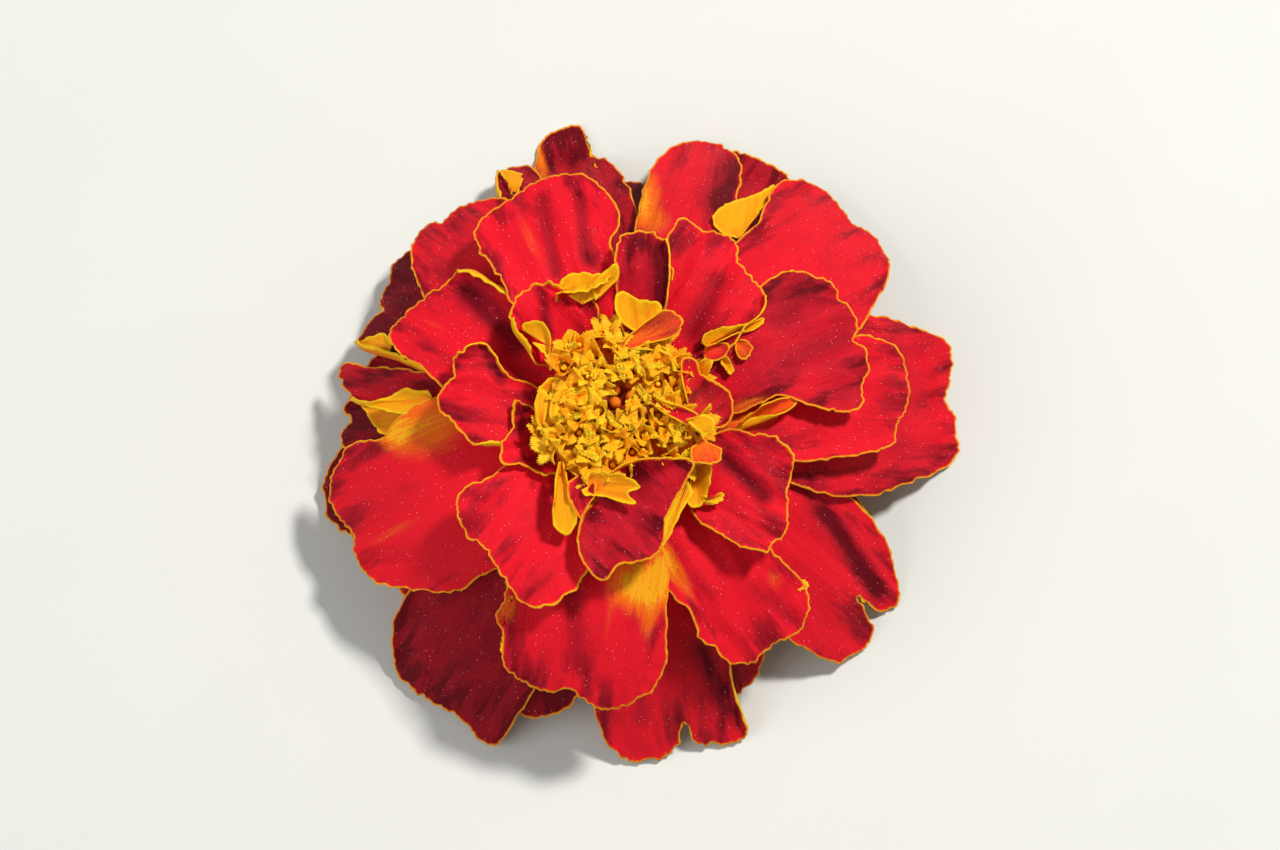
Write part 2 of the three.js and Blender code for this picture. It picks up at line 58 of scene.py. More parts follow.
# the flower's axis is the middle of the green cup
CUP_LOW, CUP_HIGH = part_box("involucre")
AXIS = Vector(((CUP_LOW.x + CUP_HIGH.x) / 2, (CUP_LOW.y + CUP_HIGH.y) / 2, 0.0))

Colour = tuple[float, float, float]
Place = tuple[float, float, float]
Point = tuple[float, float]
Bend = Callable[[float, float], tuple]


def clamp(value: float, low: float = 0.0, high: float = 1.0) -> float:
    """Keeps a value from low to high."""
    return min(high, max(low, value))


def smooth_step(low: float, high: float, value: float) -> float:
    """Eases from 0, where the value is at low, to 1, where it is at high."""
    share = clamp((value - low) / (high - low))
    return share * share * (3 - 2 * share)


def polar(radius: float, turn: float, height: float = 0.0) -> Vector:
    """Gives a point by its distance from the axis, its bearing in radians and its height."""
    return Vector((radius * math.cos(turn), radius * math.sin(turn), height))


class Draw:
    """A seeded draw, the same at each run."""

    FACTOR, STEP, SPAN = 1664525, 1013904223, 4294967296

    def __init__(self, seed: int) -> None:
        """Starts the draw from any whole number."""
        self.state = seed

    def __call__(self, low: float = 0.0, high: float = 1.0) -> float:
        """Draws the next number, from low to high."""
        self.state = (self.state * self.FACTOR + self.STEP) % self.SPAN
        return low + (high - low) * self.state / self.SPAN


# Shader nodes.


@dataclass(frozen=True)
class Wire:
    """An output socket that takes part in Python expressions."""

    kit: "NodeKit"
    socket: bpy.types.NodeSocket

    def __add__(self, other: "Wire | float") -> "Wire":
        """Adds."""
        return self.kit.math("ADD", self, other)

    def __mul__(self, other: "Wire | float") -> "Wire":
        """Multiplies."""
        return self.kit.math("MULTIPLY", self, other)

    def __sub__(self, other: "Wire | float") -> "Wire":
        """Takes away."""
        return self.kit.math("SUBTRACT", self, other)

    def __rsub__(self, other: float) -> "Wire":
        """Takes this wire from a number."""
        return self.kit.math("SUBTRACT", other, self)

    __radd__ = __add__
    __rmul__ = __mul__

    def clip(self) -> "Wire":
        """Keeps the value from 0 to 1."""
        return self.kit.math("ADD", self, 0.0, clipped=True)


class NodeKit:
    """A material's node tree, and the few ways in which nodes are added to it."""

    def __init__(self, name: str) -> None:
        """Makes an empty material.

        Args:
            name: the material's name.
        """
        self.material = bpy.data.materials.new(name)
        self.material.use_nodes = True
        self.tree = self.material.node_tree
        self.tree.nodes.clear()

    def node(self, kind: str, inputs: dict, **settings: object) -> bpy.types.Node:
        """Adds any node.

        Args:
            kind: the node's type, without the words that all of them start with.
            inputs: values or links of its sockets, by name or number.
            settings: properties of the node, set first.

        Returns:
            The node.
        """
        made = self.tree.nodes.new("ShaderNode" + kind)
        for name, value in settings.items():
            setattr(made, name, value)
        for key, value in inputs.items():
            socket = made.inputs[key]
            if isinstance(value, Wire):
                self.tree.links.new(value.socket, socket)
            elif isinstance(value, tuple) and len(value) == 3 and socket.type == "RGBA":
                socket.default_value = (*value, 1.0)
            else:
                socket.default_value = value
        return made

    def wire(self, kind: str, inputs: dict, output: int | str = 0, **settings: object) -> Wire:
        """Adds any node and gives one of its outputs."""
        return Wire(self, self.node(kind, inputs, **settings).outputs[output])

    def math(self, operation: str, a: "Wire | float", b: "Wire | float",
             clipped: bool = False) -> Wire:
        """Works out one operation on two values."""
        return self.wire("Math", {0: a, 1: b}, operation=operation, use_clamp=clipped)

    def mix(self, share: "Wire | float", a: "Wire | Colour", b: "Wire | Colour") -> Wire:
        """Mixes two colours by the second one's share."""
        return self.wire("Mix", {0: share, 6: a, 7: b}, 2, data_type="RGBA")

    def ease(self, value: Wire, low: float, high: float) -> Wire:
        """Eases a value, to 0 at low and 1 at high."""
        return self.wire("MapRange", {"Value": value, "From Min": low, "From Max": high},
                         interpolation_type="SMOOTHSTEP")

    def attribute(self, name: str, output: str = "Fac") -> Wire:
        """Reads one of the mesh's own attributes."""
        return self.wire("Attribute", {}, output, attribute_name=name)

    def place(self) -> Wire:
        """Reads Object coordinates."""
        return self.wire("TexCoord", {}, "Object")

    def stretched(self, vector: Wire, scale: Colour) -> Wire:
        """Scales a vector by a factor along each axis."""
        return self.wire("VectorMath", {0: vector, 1: scale}, operation="MULTIPLY")

    def noise(self, vector: Wire, scale: float, detail: float, roughness: float) -> Wire:
        """Reads a Noise texture, whose values lie about 0.5."""
        return self.wire("TexNoise", {"Vector": vector, "Scale": scale, "Detail": detail,
                                      "Roughness": roughness})

    def cells(self, vector: Wire, scale: float) -> tuple[Wire, Wire]:
        """Reads a Voronoi texture.

        Args:
            vector: where it is read.
            scale: how many cells to a unit of the vector.

        Returns:
            The distance to the nearest cell's point, and that cell's own random number.
        """
        made = self.node("TexVoronoi", {"Vector": vector, "Scale": scale}, feature="F1")
        chance = self.wire("SeparateColor", {0: Wire(self, made.outputs["Color"])})
        return Wire(self, made.outputs["Distance"]), chance

    def bump(self, height: Wire, depth: float, strength: float) -> Wire:
        """Turns a relief into a normal; the depth is in metres."""
        return self.wire("Bump", {"Height": height, "Distance": depth, "Strength": strength})

    def surface(self, inputs: dict) -> bpy.types.Material:
        """Ends the tree in a Principled shader.

        Args:
            inputs: the shader's sockets.

        Returns:
            The finished material.
        """
        shader = self.wire("BsdfPrincipled", inputs)
        self.node("OutputMaterial", {"Surface": shader})
        return self.material


# Finishes.


@dataclass(frozen=True)
class VelvetPetal:
    """Scarlet velvet with a golden margin, and a golden underside."""

    scarlet: Colour = (0.75, 0.009, 0.022)
    crimson: Colour = (0.42, 0.007, 0.018)
    maroon: Colour = (0.13, 0.002, 0.007)
    orange: Colour = (0.80, 0.13, 0.008)
    golden: Colour = (0.82, 0.36, 0.010)
    under: Colour = (0.84, 0.38, 0.006)
    lemon: Colour = (0.88, 0.54, 0.010)
    # glint: the colour of painted glints, tiny sparkles of light on the velvet
    glint: Colour = (1.0, 0.62, 0.66)
    sheen: Colour = (1.0, 0.20, 0.24)
    margin: float = 0.10

    def material(self) -> bpy.types.Material:
        """Builds the material.

        Returns:
            The material, which reads edge, under, tone, glow and flat from the mesh.
        """
        kit = NodeKit("velvet_petal")
        flat = kit.attribute("flat", "Vector")
        edge = kit.attribute("edge")
        tone = kit.attribute("tone")
        glow = kit.attribute("glow")
        under = kit.attribute("under")
        veins = kit.noise(kit.stretched(flat, (3.4, 0.45, 1.0)), 1.0, 3.0, 0.62)
        bands = kit.noise(kit.stretched(flat, (0.62, 0.17, 1.0)), 1.0, 3.0, 0.6)
        patches = kit.noise(kit.stretched(flat, (0.36, 0.26, 1.0)), 1.0, 4.0, 0.6)
        grain = kit.noise(flat, 5.5, 3.0, 0.7)
        tips = 1 - kit.ease(edge, 0.4, 3.4)
        # painted shade: tone turns the scarlet towards crimson and maroon where a petal lies in
        # shadow or in a fold, as well as giving its own darker tone
        dark = (tone * 0.9 + kit.ease(bands, 0.44, 0.66) * (0.06 + tips * 0.62)
                + (patches - 0.5) * 0.6 + (veins - 0.5) * 0.2 + (grain - 0.5) * 0.6).clip()
        red = kit.mix(kit.ease(dark, 0.05, 0.55), self.scarlet, self.crimson)
        red = kit.mix(kit.ease(dark, 0.45, 1.05), red, self.maroon)
        warm = (glow * (0.9 + (veins - 0.5) * 1.6 + (grain - 0.5) * 1.3)).clip()
        red = kit.mix(kit.ease(warm, 0.06, 0.42), red, self.orange)
        red = kit.mix(kit.ease(warm, 0.42, 0.85), red, self.golden)
        # painted glints: a few tiny pinkish-white specks where light sparkles off the velvet's
        # papillae
        spot, chance = kit.cells(flat, 4.6)
        glints = (1 - kit.ease(spot, 0.08, 0.15)) * kit.ease(chance, 0.80, 0.82)
        red = kit.mix(glints * 0.8, red, self.glint)
        line = edge + (kit.noise(flat, 1.9, 3.0, 0.6) - 0.5) * -0.16
        rimmed = kit.mix(1 - kit.ease(line, self.margin, self.margin * 2.1), red, self.orange)
        rimmed = kit.mix(1 - kit.ease(line, self.margin * 0.7, self.margin * 1.25), rimmed,
                         self.golden)
        flush = kit.ease(bands, 0.45, 0.7) * kit.ease(edge, 0.3, 1.4)
        below = kit.mix((flush * 0.5 + tone * 0.7 + (veins - 0.5) * 1.2).clip(),
                        self.under, self.orange)
        below = kit.mix(1 - kit.ease(line, 0.08, 0.28), below, self.lemon)
        colour = kit.mix(kit.ease(under, 0.45, 0.55), rimmed, below)
        relief = veins * 0.6 + grain * 0.4
        return kit.surface({
            "Base Color": colour,
            "Roughness": 0.56 + (grain - 0.5) * 0.2,
            "Normal": kit.bump(relief, 0.16 * MM, 0.8),
            "Sheen Weight": 0.015,
            "Sheen Roughness": 0.4,
            "Sheen Tint": self.sheen,
            "Specular IOR Level": 0.06,
        })


@dataclass(frozen=True)
class HairyFloret:
    """Matte golden corollas: lemon at their tips, orange lower down, and painted shade of dark
    red-brown in their depths.
    """

    lemon: Colour = (0.97, 0.67, 0.025)
    golden: Colour = (0.96, 0.44, 0.010)
    orange: Colour = (0.88, 0.20, 0.009)
    # brown: painted shade in the disc's depths
    brown: Colour = (0.24, 0.018, 0.008)

    def material(self) -> bpy.types.Material:
        """Builds the material.

        Returns:
            The material, which reads warmth from the mesh.
        """
        kit = NodeKit("hairy_floret")
        place = kit.place()
        mottle = kit.noise(place, 1100.0, 3.0, 0.6)
        grain = kit.noise(place, 6000.0, 2.0, 0.6)
        warmth = (kit.attribute("warmth") + (mottle - 0.5) * 0.4 + (grain - 0.5) * 0.2).clip()
        colour = kit.mix(kit.ease(warmth, 0.04, 0.32), self.lemon, self.golden)
        colour = kit.mix(kit.ease(warmth, 0.34, 0.70), colour, self.orange)
        # painted shade: the highest warmth, in tube throats, the pit and the core, turns dark brown
        colour = kit.mix(kit.ease(warmth, 0.74, 1.0), colour, self.brown)
        return kit.surface({
            "Base Color": colour,
            "Roughness": 0.6 + (mottle - 0.5) * 0.3,
            "Normal": kit.bump(grain, 0.06 * MM, 0.6),
            "Specular IOR Level": 0.10,
        })


@dataclass(frozen=True)
class WaxyCup:
    """Ribbed green bracts with purple-brown seams, reddish teeth and oil glands."""

    leaf: Colour = (0.16, 0.30, 0.065)
    pale: Colour = (0.33, 0.44, 0.17)
    wax: Colour = (0.46, 0.54, 0.40)
    purple: Colour = (0.10, 0.035, 0.028)
    gland: Colour = (0.24, 0.10, 0.012)

    def material(self) -> bpy.types.Material:
        """Builds the material.

        Returns:
            The material, which reads skin, rib and rise from the mesh.
        """
        kit = NodeKit("waxy_cup")
        skin = kit.attribute("skin", "Vector")
        rib = kit.attribute("rib")
        rise = kit.attribute("rise")
        streaks = kit.noise(kit.stretched(skin, (2.4, 0.35, 1.0)), 1.0, 3.0, 0.6)
        bloom = kit.noise(skin, 0.7, 3.0, 0.6)
        grain = kit.noise(skin, 9.0, 2.0, 0.6)
        colour = kit.mix((rib * 0.75 + (streaks - 0.5) * 0.9).clip(), self.leaf, self.pale)
        seam = (1 - kit.ease(rib, 0.0, 0.42)) * kit.ease(streaks + rise * 0.12, 0.44, 0.66)
        tooth = kit.ease(rise, 0.93, 1.02)
        colour = kit.mix((seam * 0.7 + tooth * 0.85).clip(), colour, self.purple)
        colour = kit.mix(kit.ease(bloom, 0.5, 0.75) * 0.3, colour, self.wax)
        spot, chance = kit.cells(kit.stretched(skin, (1.0, 0.5, 1.0)), 0.75)
        glands = (1 - kit.ease(spot, 0.12, 0.2)) * kit.ease(chance, 0.42, 0.46)
        colour = kit.mix(glands * kit.ease(rise, 0.25, 0.4) * 0.8, colour, self.gland)
        return kit.surface({
            "Base Color": colour,
            "Roughness": 0.48 + (bloom - 0.5) * 0.3,
            "Normal": kit.bump(streaks * 0.6 + grain * 0.4, 0.1 * MM, 0.5),
            "Specular IOR Level": 0.4,
        })


@dataclass(frozen=True)
class PaleFloor:
    """A plain pale floor."""

    colour: Colour = (0.74, 0.75, 0.72)
    mottled: float = 0.96

    def material(self) -> bpy.types.Material:
        """Builds the material.

        Returns:
            The material.
        """
        kit = NodeKit("pale_floor")
        mottle = kit.noise(kit.place(), 60.0, 3.0, 0.5)
        tint = tuple(self.mottled * part for part in self.colour)
        return kit.surface({"Base Color": kit.mix(mottle, self.colour, tint), "Roughness": 0.8})


# Meshes, in mm.

# how near doubles lie, how deep a hair stands in its floret, and how far from its margin
# a petal has its full thickness
CLOSE = 1e-4
HAIR_ROOT = 0.02
FULL_DEPTH_FROM = 0.9


def verts_of(made: dict) -> list:
    """Picks the vertices out of what an operator has made."""
    return [item for item in made["geom"] if isinstance(item, bmesh.types.BMVert)]


def faces_of(verts: list) -> list:
    """Lists the faces round some vertices."""
    return list({face for vert in verts for face in vert.link_faces})


class Body:
    """A mesh of many closed parts, in mm about the axis, with attributes of its own."""

    def __init__(self, numbers: Sequence[str], vectors: Sequence[str] = ()) -> None:
        """Starts an empty mesh.

        Args:
            numbers: the names of its number attributes.
            vectors: the names of its vector attributes.
        """
        self.bm = bmesh.new()
        kinds = self.bm.verts.layers
        self.layers = {name: kinds.float.new(name) for name in numbers}
        self.layers.update({name: kinds.float_vector.new(name) for name in vectors})
        self.twin = kinds.int.new("twin")

    def mark(self, vert: bmesh.types.BMVert, values: dict) -> None:
        """Sets a vertex's attributes by their names."""
        for name, value in values.items():
            vert[self.layers[name]] = value

    def grid(self, cells: tuple[int, int], bend: Bend) -> list:
        """Adds a grid that is bent into place.

        Args:
            cells: how many cells it has across and along.
            bend: gives, for a place from 0 to 1 across and along, the point and a
                dictionary of attributes.

        Returns:
            The new vertices.
        """
        made = bmesh.ops.create_grid(self.bm, x_segments=cells[0], y_segments=cells[1], size=0.5)
        for vert in made["verts"]:
            point, values = bend(vert.co.x + 0.5, vert.co.y + 0.5)
            vert.co = point
            self.mark(vert, values)
        return made["verts"]

    def sheet(self, cells: tuple[int, int], bend: Bend,
              deep: Callable[[bmesh.types.BMVert], float], below: dict) -> list:
        """Adds a bent grid with thickness.

        Args:
            cells: how many cells it has across and along.
            bend: as for grid.
            deep: gives the thickness at a vertex.
            below: attributes of the lower side.

        Returns:
            The new vertices.
        """
        verts = self.joined(self.grid(cells, bend))
        faces = faces_of(verts)
        for face in faces:
            face.normal_update()
        for number, vert in enumerate(verts):
            vert[self.twin] = number
            vert.normal_update()
        normals = [vert.normal.copy() for vert in verts]
        lower = verts_of(bmesh.ops.extrude_face_region(self.bm, geom=faces, use_keep_orig=True))
        for vert in lower:
            vert.co -= normals[vert[self.twin]] * deep(vert)
            self.mark(vert, below)
        return verts + lower

    def turned(self, rings: Sequence[Place], sides: int) -> list:
        """Adds a closed body of revolution.

        Args:
            rings: its radius, height and warmth, ring by ring, from pole to pole.
            sides: how many sides it has.

        Returns:
            The new vertices.
        """
        last = len(rings) - 1

        def bend(share: float, row: float) -> tuple:
            """Bends a point, from its shares of the turn and of the rings."""
            radius, height, warmth = rings[round(row * last)]
            return polar(radius, share * TURN, height), {"warmth": warmth}

        return self.joined(self.grid((sides, last), bend))

    def joined(self, verts: list) -> list:
        """Merges a part's doubles and gives the vertices that are left."""
        bmesh.ops.remove_doubles(self.bm, verts=verts, dist=CLOSE)
        return [vert for vert in verts if vert.is_valid]

    def hair(self, foot: Vector, lean: Vector, length: float, thick: float,
             warmth: float) -> list:
        """Adds a stiff hair.

        Args:
            foot: where it stands.
            lean: the direction in which it points.
            length: its length.
            thick: its radius at the foot.
            warmth: how deep its colour is, from 0 to 1, with painted shade towards 1.

        Returns:
            The new vertices.
        """
        ahead = lean.normalized()
        matrix = (Matrix.Translation(foot + ahead * (length / 2 - HAIR_ROOT))
                  @ ahead.to_track_quat("Z", "Y").to_matrix().to_4x4())
        made = bmesh.ops.create_cone(self.bm, cap_ends=True, segments=3, radius1=thick,
                                     radius2=0.0, depth=length, matrix=matrix)
        for vert in made["verts"]:
            vert[self.layers["warmth"]] = warmth
        return made["verts"]

    def finish(self, name: str) -> bpy.types.Object:
        """Ends the mesh.

        Args:
            name: the piece's name.

        Returns:
            The piece, at the origin and smooth all over.
        """
        bmesh.ops.remove_doubles(self.bm, verts=self.bm.verts, dist=CLOSE)
        self.bm.verts.layers.int.remove(self.twin)
        bmesh.ops.transform(self.bm, verts=self.bm.verts,
                            matrix=Matrix.Translation(AXIS) @ Matrix.Scale(MM, 4))
        bmesh.ops.recalc_face_normals(self.bm, faces=self.bm.faces)
        for face in self.bm.faces:
            face.smooth = True
        mesh = bpy.data.meshes.new(name)
        self.bm.to_mesh(mesh)
        self.bm.free()
        piece = bpy.data.objects.new(name, mesh)
        bpy.context.scene.collection.objects.link(piece)
        return piece


def petal_body() -> Body:
    """Starts a mesh with the attributes that the petals' finish reads."""
    return Body(("edge", "under", "tone", "glow"), ("flat",))


def petal_depth(body: Body, thick: float, thin: float) -> Callable[[bmesh.types.BMVert], float]:
    """Prepares a petal's thickness, which tapers to its thin margin."""
    edge = body.layers["edge"]
    return lambda vert: thin + (thick - thin) * min(1.0, vert[edge] / FULL_DEPTH_FROM)


def dress(piece: bpy.types.Object, material: bpy.types.Material, slot: str,
          *nodes: str) -> bpy.types.Object:
    """Gives a piece its finish and its place on the frame.

    Args:
        piece: the piece.
        material: its material.
        slot: the record's material slot; not used.
        nodes: the solids that it stands for.

    Returns:
        The piece.
    """
    piece.data.materials.append(material)
    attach(piece, "root")
    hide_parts(*nodes)
    return piece


# Ray florets, in mm.

CLAW_RADIUS = 5.6
ROOT_DEPTH = 1.6
CLAW_WIDTH = 0.2
CLAW_SHARE = 0.85
CLAW_STEPS = 40
NARROW_TOP = 0.45
SIDE_SLOPE = 0.12
RIM_STEPS = 240
MARGIN_STEPS = 600
CURVE_STEPS = 24
TINY = 1e-6
# the lowest bowl's height, the step from bowl to bowl, the radius inside which they are
# level, and the one at which their heights are set
FIRST_LAYER = 14.1
LAYER_STEP = 0.5
LEVEL_RADIUS = 5.0
BOWL_RADIUS = 6.0
# how the bowls slope and droop: for the lowest, with the layer, and with its square
BOWL_SLOPE = (-0.15, 0.24, 0.02)
BOWL_DROOP = (0.0285, 0.002, 0.001)
# the height at which petals lie on the surface, how softly they turn along it, and how
# many times that softness above it they are clear of it
SURFACE = 0.3
SOFTNESS = 0.35
CLEAR = 8
PETAL_LIFT = 0.12
# the most tone a blade may have: its own tone and its painted shade together
MOST_TONE_AND_SHADE = 1.4
# waves of noise along a margin: height, rate and seed
RUFFLES = ((1.0, 0.40, 1.0), (0.6, 1.15, 2.0))
CRIMPS = ((0.24, 1.1, 0.0), (0.20, 2.4, 5.0))
FOLD_CRIMPS = ((1.0, 1.6, 0.0), (0.8, 3.4, 4.0))
RUFFLE = 0.30
# waves of noise over a blade: height, rate across, rate along and seed
BUCKLES = ((0.75, 2.7, 0.07, 0.0), (0.38, 6.5, 0.09, 2.0))
PLEATS = 3
# how far in from a margin its crimps and its ruffles reach
CRIMP_REACH = 0.6
RUFFLE_REACH = 1.7
FOLD_CRIMP_REACH = 0.35
# the shares of the way to the top over which these set in
CRIMP_START = (0.15, 0.5)
RUFFLE_START = (0.3, 0.8)
CURL_START = (0.2, 0.6)
CURL_FADE = 0.2
# how the rows of cells crowd towards the top
CROWDING = 1.35
FOLD_CROWDING = 1.4
# thickness in the middle and at the margin
PETAL_DEPTHS = (0.28, 0.12)
FOLD_DEPTHS = (0.18, 0.10)
FOLD_STEP = 0.22
FOLD_ROWS = 12
# how dark a fold's back is at its root, and how far up that reaches
ROOT_SHADE = 0.7
SHADE_END = 0.55


def waves(far: float, seed: float, table: Sequence[Place]) -> float:
    """Adds up waves along a margin, given by their heights, their rates and their seeds."""
    return sum(high * noise.noise((far * rate, seed, own)) for high, rate, own in table)


def rolled(place: float, flat: float, radius: float) -> Point:
    """Rolls up what lies beyond a line.

    Args:
        place: a distance from the middle.
        flat: the distance of the line.
        radius: the roll's radius.

    Returns:
        The new distance, and how far it is lifted.
    """
    if place <= flat:
        return place, 0.0
    turn = (place - flat) / radius
    return flat + radius * math.sin(turn), radius * (1 - math.cos(turn))


def layer_height(layer: float, radius: float) -> float:
    """Gives the height of one of the bloom's nested bowls.

    Args:
        layer: which bowl, from 0 at the bottom.
        radius: the distance from the axis.

    Returns:
        The height in mm.
    """
    out = max(radius, LEVEL_RADIUS) - BOWL_RADIUS
    slope, droop = (base + more * layer + most * layer * layer
                    for base, more, most in (BOWL_SLOPE, BOWL_DROOP))
    return FIRST_LAYER + LAYER_STEP * layer + slope * out - droop * out * out


def laid_down(height: float) -> float:
    """Lays what droops below the surface along it."""
    over = (height - SURFACE) / SOFTNESS
    return height if over > CLEAR else SURFACE + SOFTNESS * math.log1p(math.exp(over))


def even_curve(points: Sequence[Point], count: int) -> list[Point]:
    """Takes even steps along a smooth curve through some points.

    Args:
        points: the points.
        count: how many steps.

    Returns:
        The points of the steps.
    """
    at = [Vector(point) for point in points]
    at = [2 * at[0] - at[1], *at, 2 * at[-1] - at[-2]]
    fine: list[Vector] = []
    for i in range(1, len(at) - 2):
        before, start, end, after = at[i - 1:i + 3]
        gaps = [max((b - a).length ** 0.5, TINY)
                for a, b in ((before, start), (start, end), (end, after))]
        leave = ((start - before) / gaps[0] - (end - before) / (gaps[0] + gaps[1])
                 + (end - start) / gaps[1]) * gaps[1]
        arrive = ((end - start) / gaps[1] - (after - start) / (gaps[1] + gaps[2])
                  + (after - end) / gaps[2]) * gaps[1]
        for k in range(CURVE_STEPS):
            w = k / CURVE_STEPS
            fine.append(start + leave * w + (3 * (end - start) - 2 * leave - arrive) * w * w
                        + (2 * (start - end) + leave + arrive) * w ** 3)
    fine.append(at[-2])
    length = [0.0]
    for a, b in zip(fine, fine[1:]):
        length.append(length[-1] + (b - a).length)
    result, k = [], 0
    for i in range(count + 1):
        want = length[-1] * i / count
        while k < len(fine) - 2 and length[k + 1] < want:
            k += 1
        share = (want - length[k]) / max(length[k + 1] - length[k], TINY)
        point = fine[k].lerp(fine[k + 1], min(1.0, share))
        result.append(tuple(point))
    return result


def side_end(points: Sequence[Point]) -> int:
    """Counts the steps along an outline, from its claw, before it turns into the top.

    Args:
        points: the outline.

    Returns:
        The number of steps.
    """
    widest = max(abs(across) for across, _ in points[:len(points) // 2])
    for k, ((x0, y0), (x1, y1)) in enumerate(zip(points, points[1:])):
        narrows = abs(x1) < abs(x0)
        slope = 1.0 if narrows else SIDE_SLOPE
        if y1 - y0 < slope * abs(x1 - x0) or (narrows and abs(x1) < NARROW_TOP * widest):
            return k
    return len(points) - 1


class Outline:
    """A petal's outline, parted into its top and its two sides."""

    def __init__(self, rim: Sequence[Point]) -> None:
        """Parts the outline.

        Args:
            rim: its given points, from the anticlockwise side over the end.
        """
        points = even_curve(rim, RIM_STEPS)
        first = side_end(points)
        last = RIM_STEPS - side_end(points[::-1])
        self.top = points[first:last + 1]
        self.left = points[:first + 1]
        self.right = points[last:][::-1]
        self.length = max(end for _, end in self.top)
        self.low = min(end for _, end in self.top)
        self.margin = self._margin()
        self.tree = kdtree.KDTree(len(self.margin))
        for i, (point, _, _) in enumerate(self.margin):
            self.tree.insert((*point, 0.0), i)
        self.tree.balance()

    def width(self, side: float, along: float) -> float:
        """Gives how far a side stands out.

        Args:
            side: positive for the anticlockwise side.
            along: the distance along the petal.

        Returns:
            The half width there.
        """
        points = self.left if side > 0 else self.right
        across, start = points[0]
        if along < start:
            step = max(0.0, along / start) / CLAW_SHARE
            spread = math.sin(math.pi / 2 * min(1.0, step))
            return abs(across) * (CLAW_WIDTH + (1 - CLAW_WIDTH) * spread)
        for (x0, y0), (x1, y1) in zip(points, points[1:]):
            if y1 > along:
                return abs(x0 + (x1 - x0) * (along - y0) / (y1 - y0))
        return abs(points[-1][0])

    def at_top(self, share: float) -> Point:
        """Gives a point of the top.

        Args:
            share: from 0 at the anticlockwise side to 1.

        Returns:
            Its place across and along.
        """
        spot = share * (len(self.top) - 1)
        k = min(int(spot), len(self.top) - 2)
        (x0, y0), (x1, y1) = self.top[k:k + 2]
        return x0 + (x1 - x0) * (spot - k), y0 + (y1 - y0) * (spot - k)

    def _margin(self) -> list[tuple[Point, Point, float]]:
        """Walks the whole margin from claw to claw.

        Returns:
            Each point, the direction outwards there, and the length so far.
        """
        claws = [[(hand * self.width(hand, start * k / CLAW_STEPS), start * k / CLAW_STEPS)
                  for k in range(CLAW_STEPS)]
                 for hand, (_, start) in ((1, self.left[0]), (-1, self.right[0]))]
        walk = [*claws[0], *self.left, *self.top[1:-1], *self.right[::-1], *claws[1][::-1]]
        steps = even_curve(walk[::3] + [walk[-1]], MARGIN_STEPS)
        margin, far = [], 0.0
        for i, point in enumerate(steps):
            before, after = steps[max(0, i - 2)], steps[min(len(steps) - 1, i + 2)]
            run = (Vector(after) - Vector(before)).normalized()
            margin.append((point, (run.y, -run.x), far))
            if i + 1 < len(steps):
                far += (Vector(steps[i + 1]) - Vector(point)).length
        return margin

    def near(self, across: float, along: float) -> tuple[float, Point, float]:
        """Finds the nearest place of the margin.

        Args:
            across: a place across the petal.
            along: its place along it.

        Returns:
            The distance, the direction outwards, and the length along the margin.
        """
        _, i, distance = self.tree.find((across, along, 0.0))
        _, out, far = self.margin[i]
        return distance, out, far


class Hand(Enum):
    """A petal's margins, seen from its claw towards its end."""

    ANTICLOCKWISE = 1
    CLOCKWISE = -1


@dataclass(frozen=True)
class Curl:
    """A margin that rolls up: the share of the half width, the angle, and how far along."""

    hand: Hand
    share: float
    degrees: float
    until: float = 2.0


@dataclass(frozen=True)
class Glow:
    """A yellow blotch, by its place, its half sizes across and along, and its strength."""

    across: float
    along: float
    wide: float
    long: float
    strength: float

    def share(self, across: float, along: float) -> float:
        """Tells how much of the blotch is felt at a place across and along."""
        far = ((across - self.across) / self.wide) ** 2 + ((along - self.along) / self.long) ** 2
        return self.strength * math.exp(-far)


@dataclass(frozen=True)
class Fold:
    """A valley along a line, by its two ends across and along, with painted shade along it."""

    ends: tuple[Point, Point]
    half: float = 0.8
    depth: float = 0.35
    shade: float = 0.45

    def share(self, across: float, along: float) -> float:
        """Tells how much of the fold is felt at a place.

        Args:
            across: the place across the petal.
            along: the place along it.

        Returns:
            A number from 0 to 1.
        """
        start, end, here = Vector(self.ends[0]), Vector(self.ends[1]), Vector((across, along))
        run = end - start
        spot = clamp((here - start).dot(run) / run.length_squared)
        return math.exp(-((here - start - run * spot).length / self.half) ** 2)


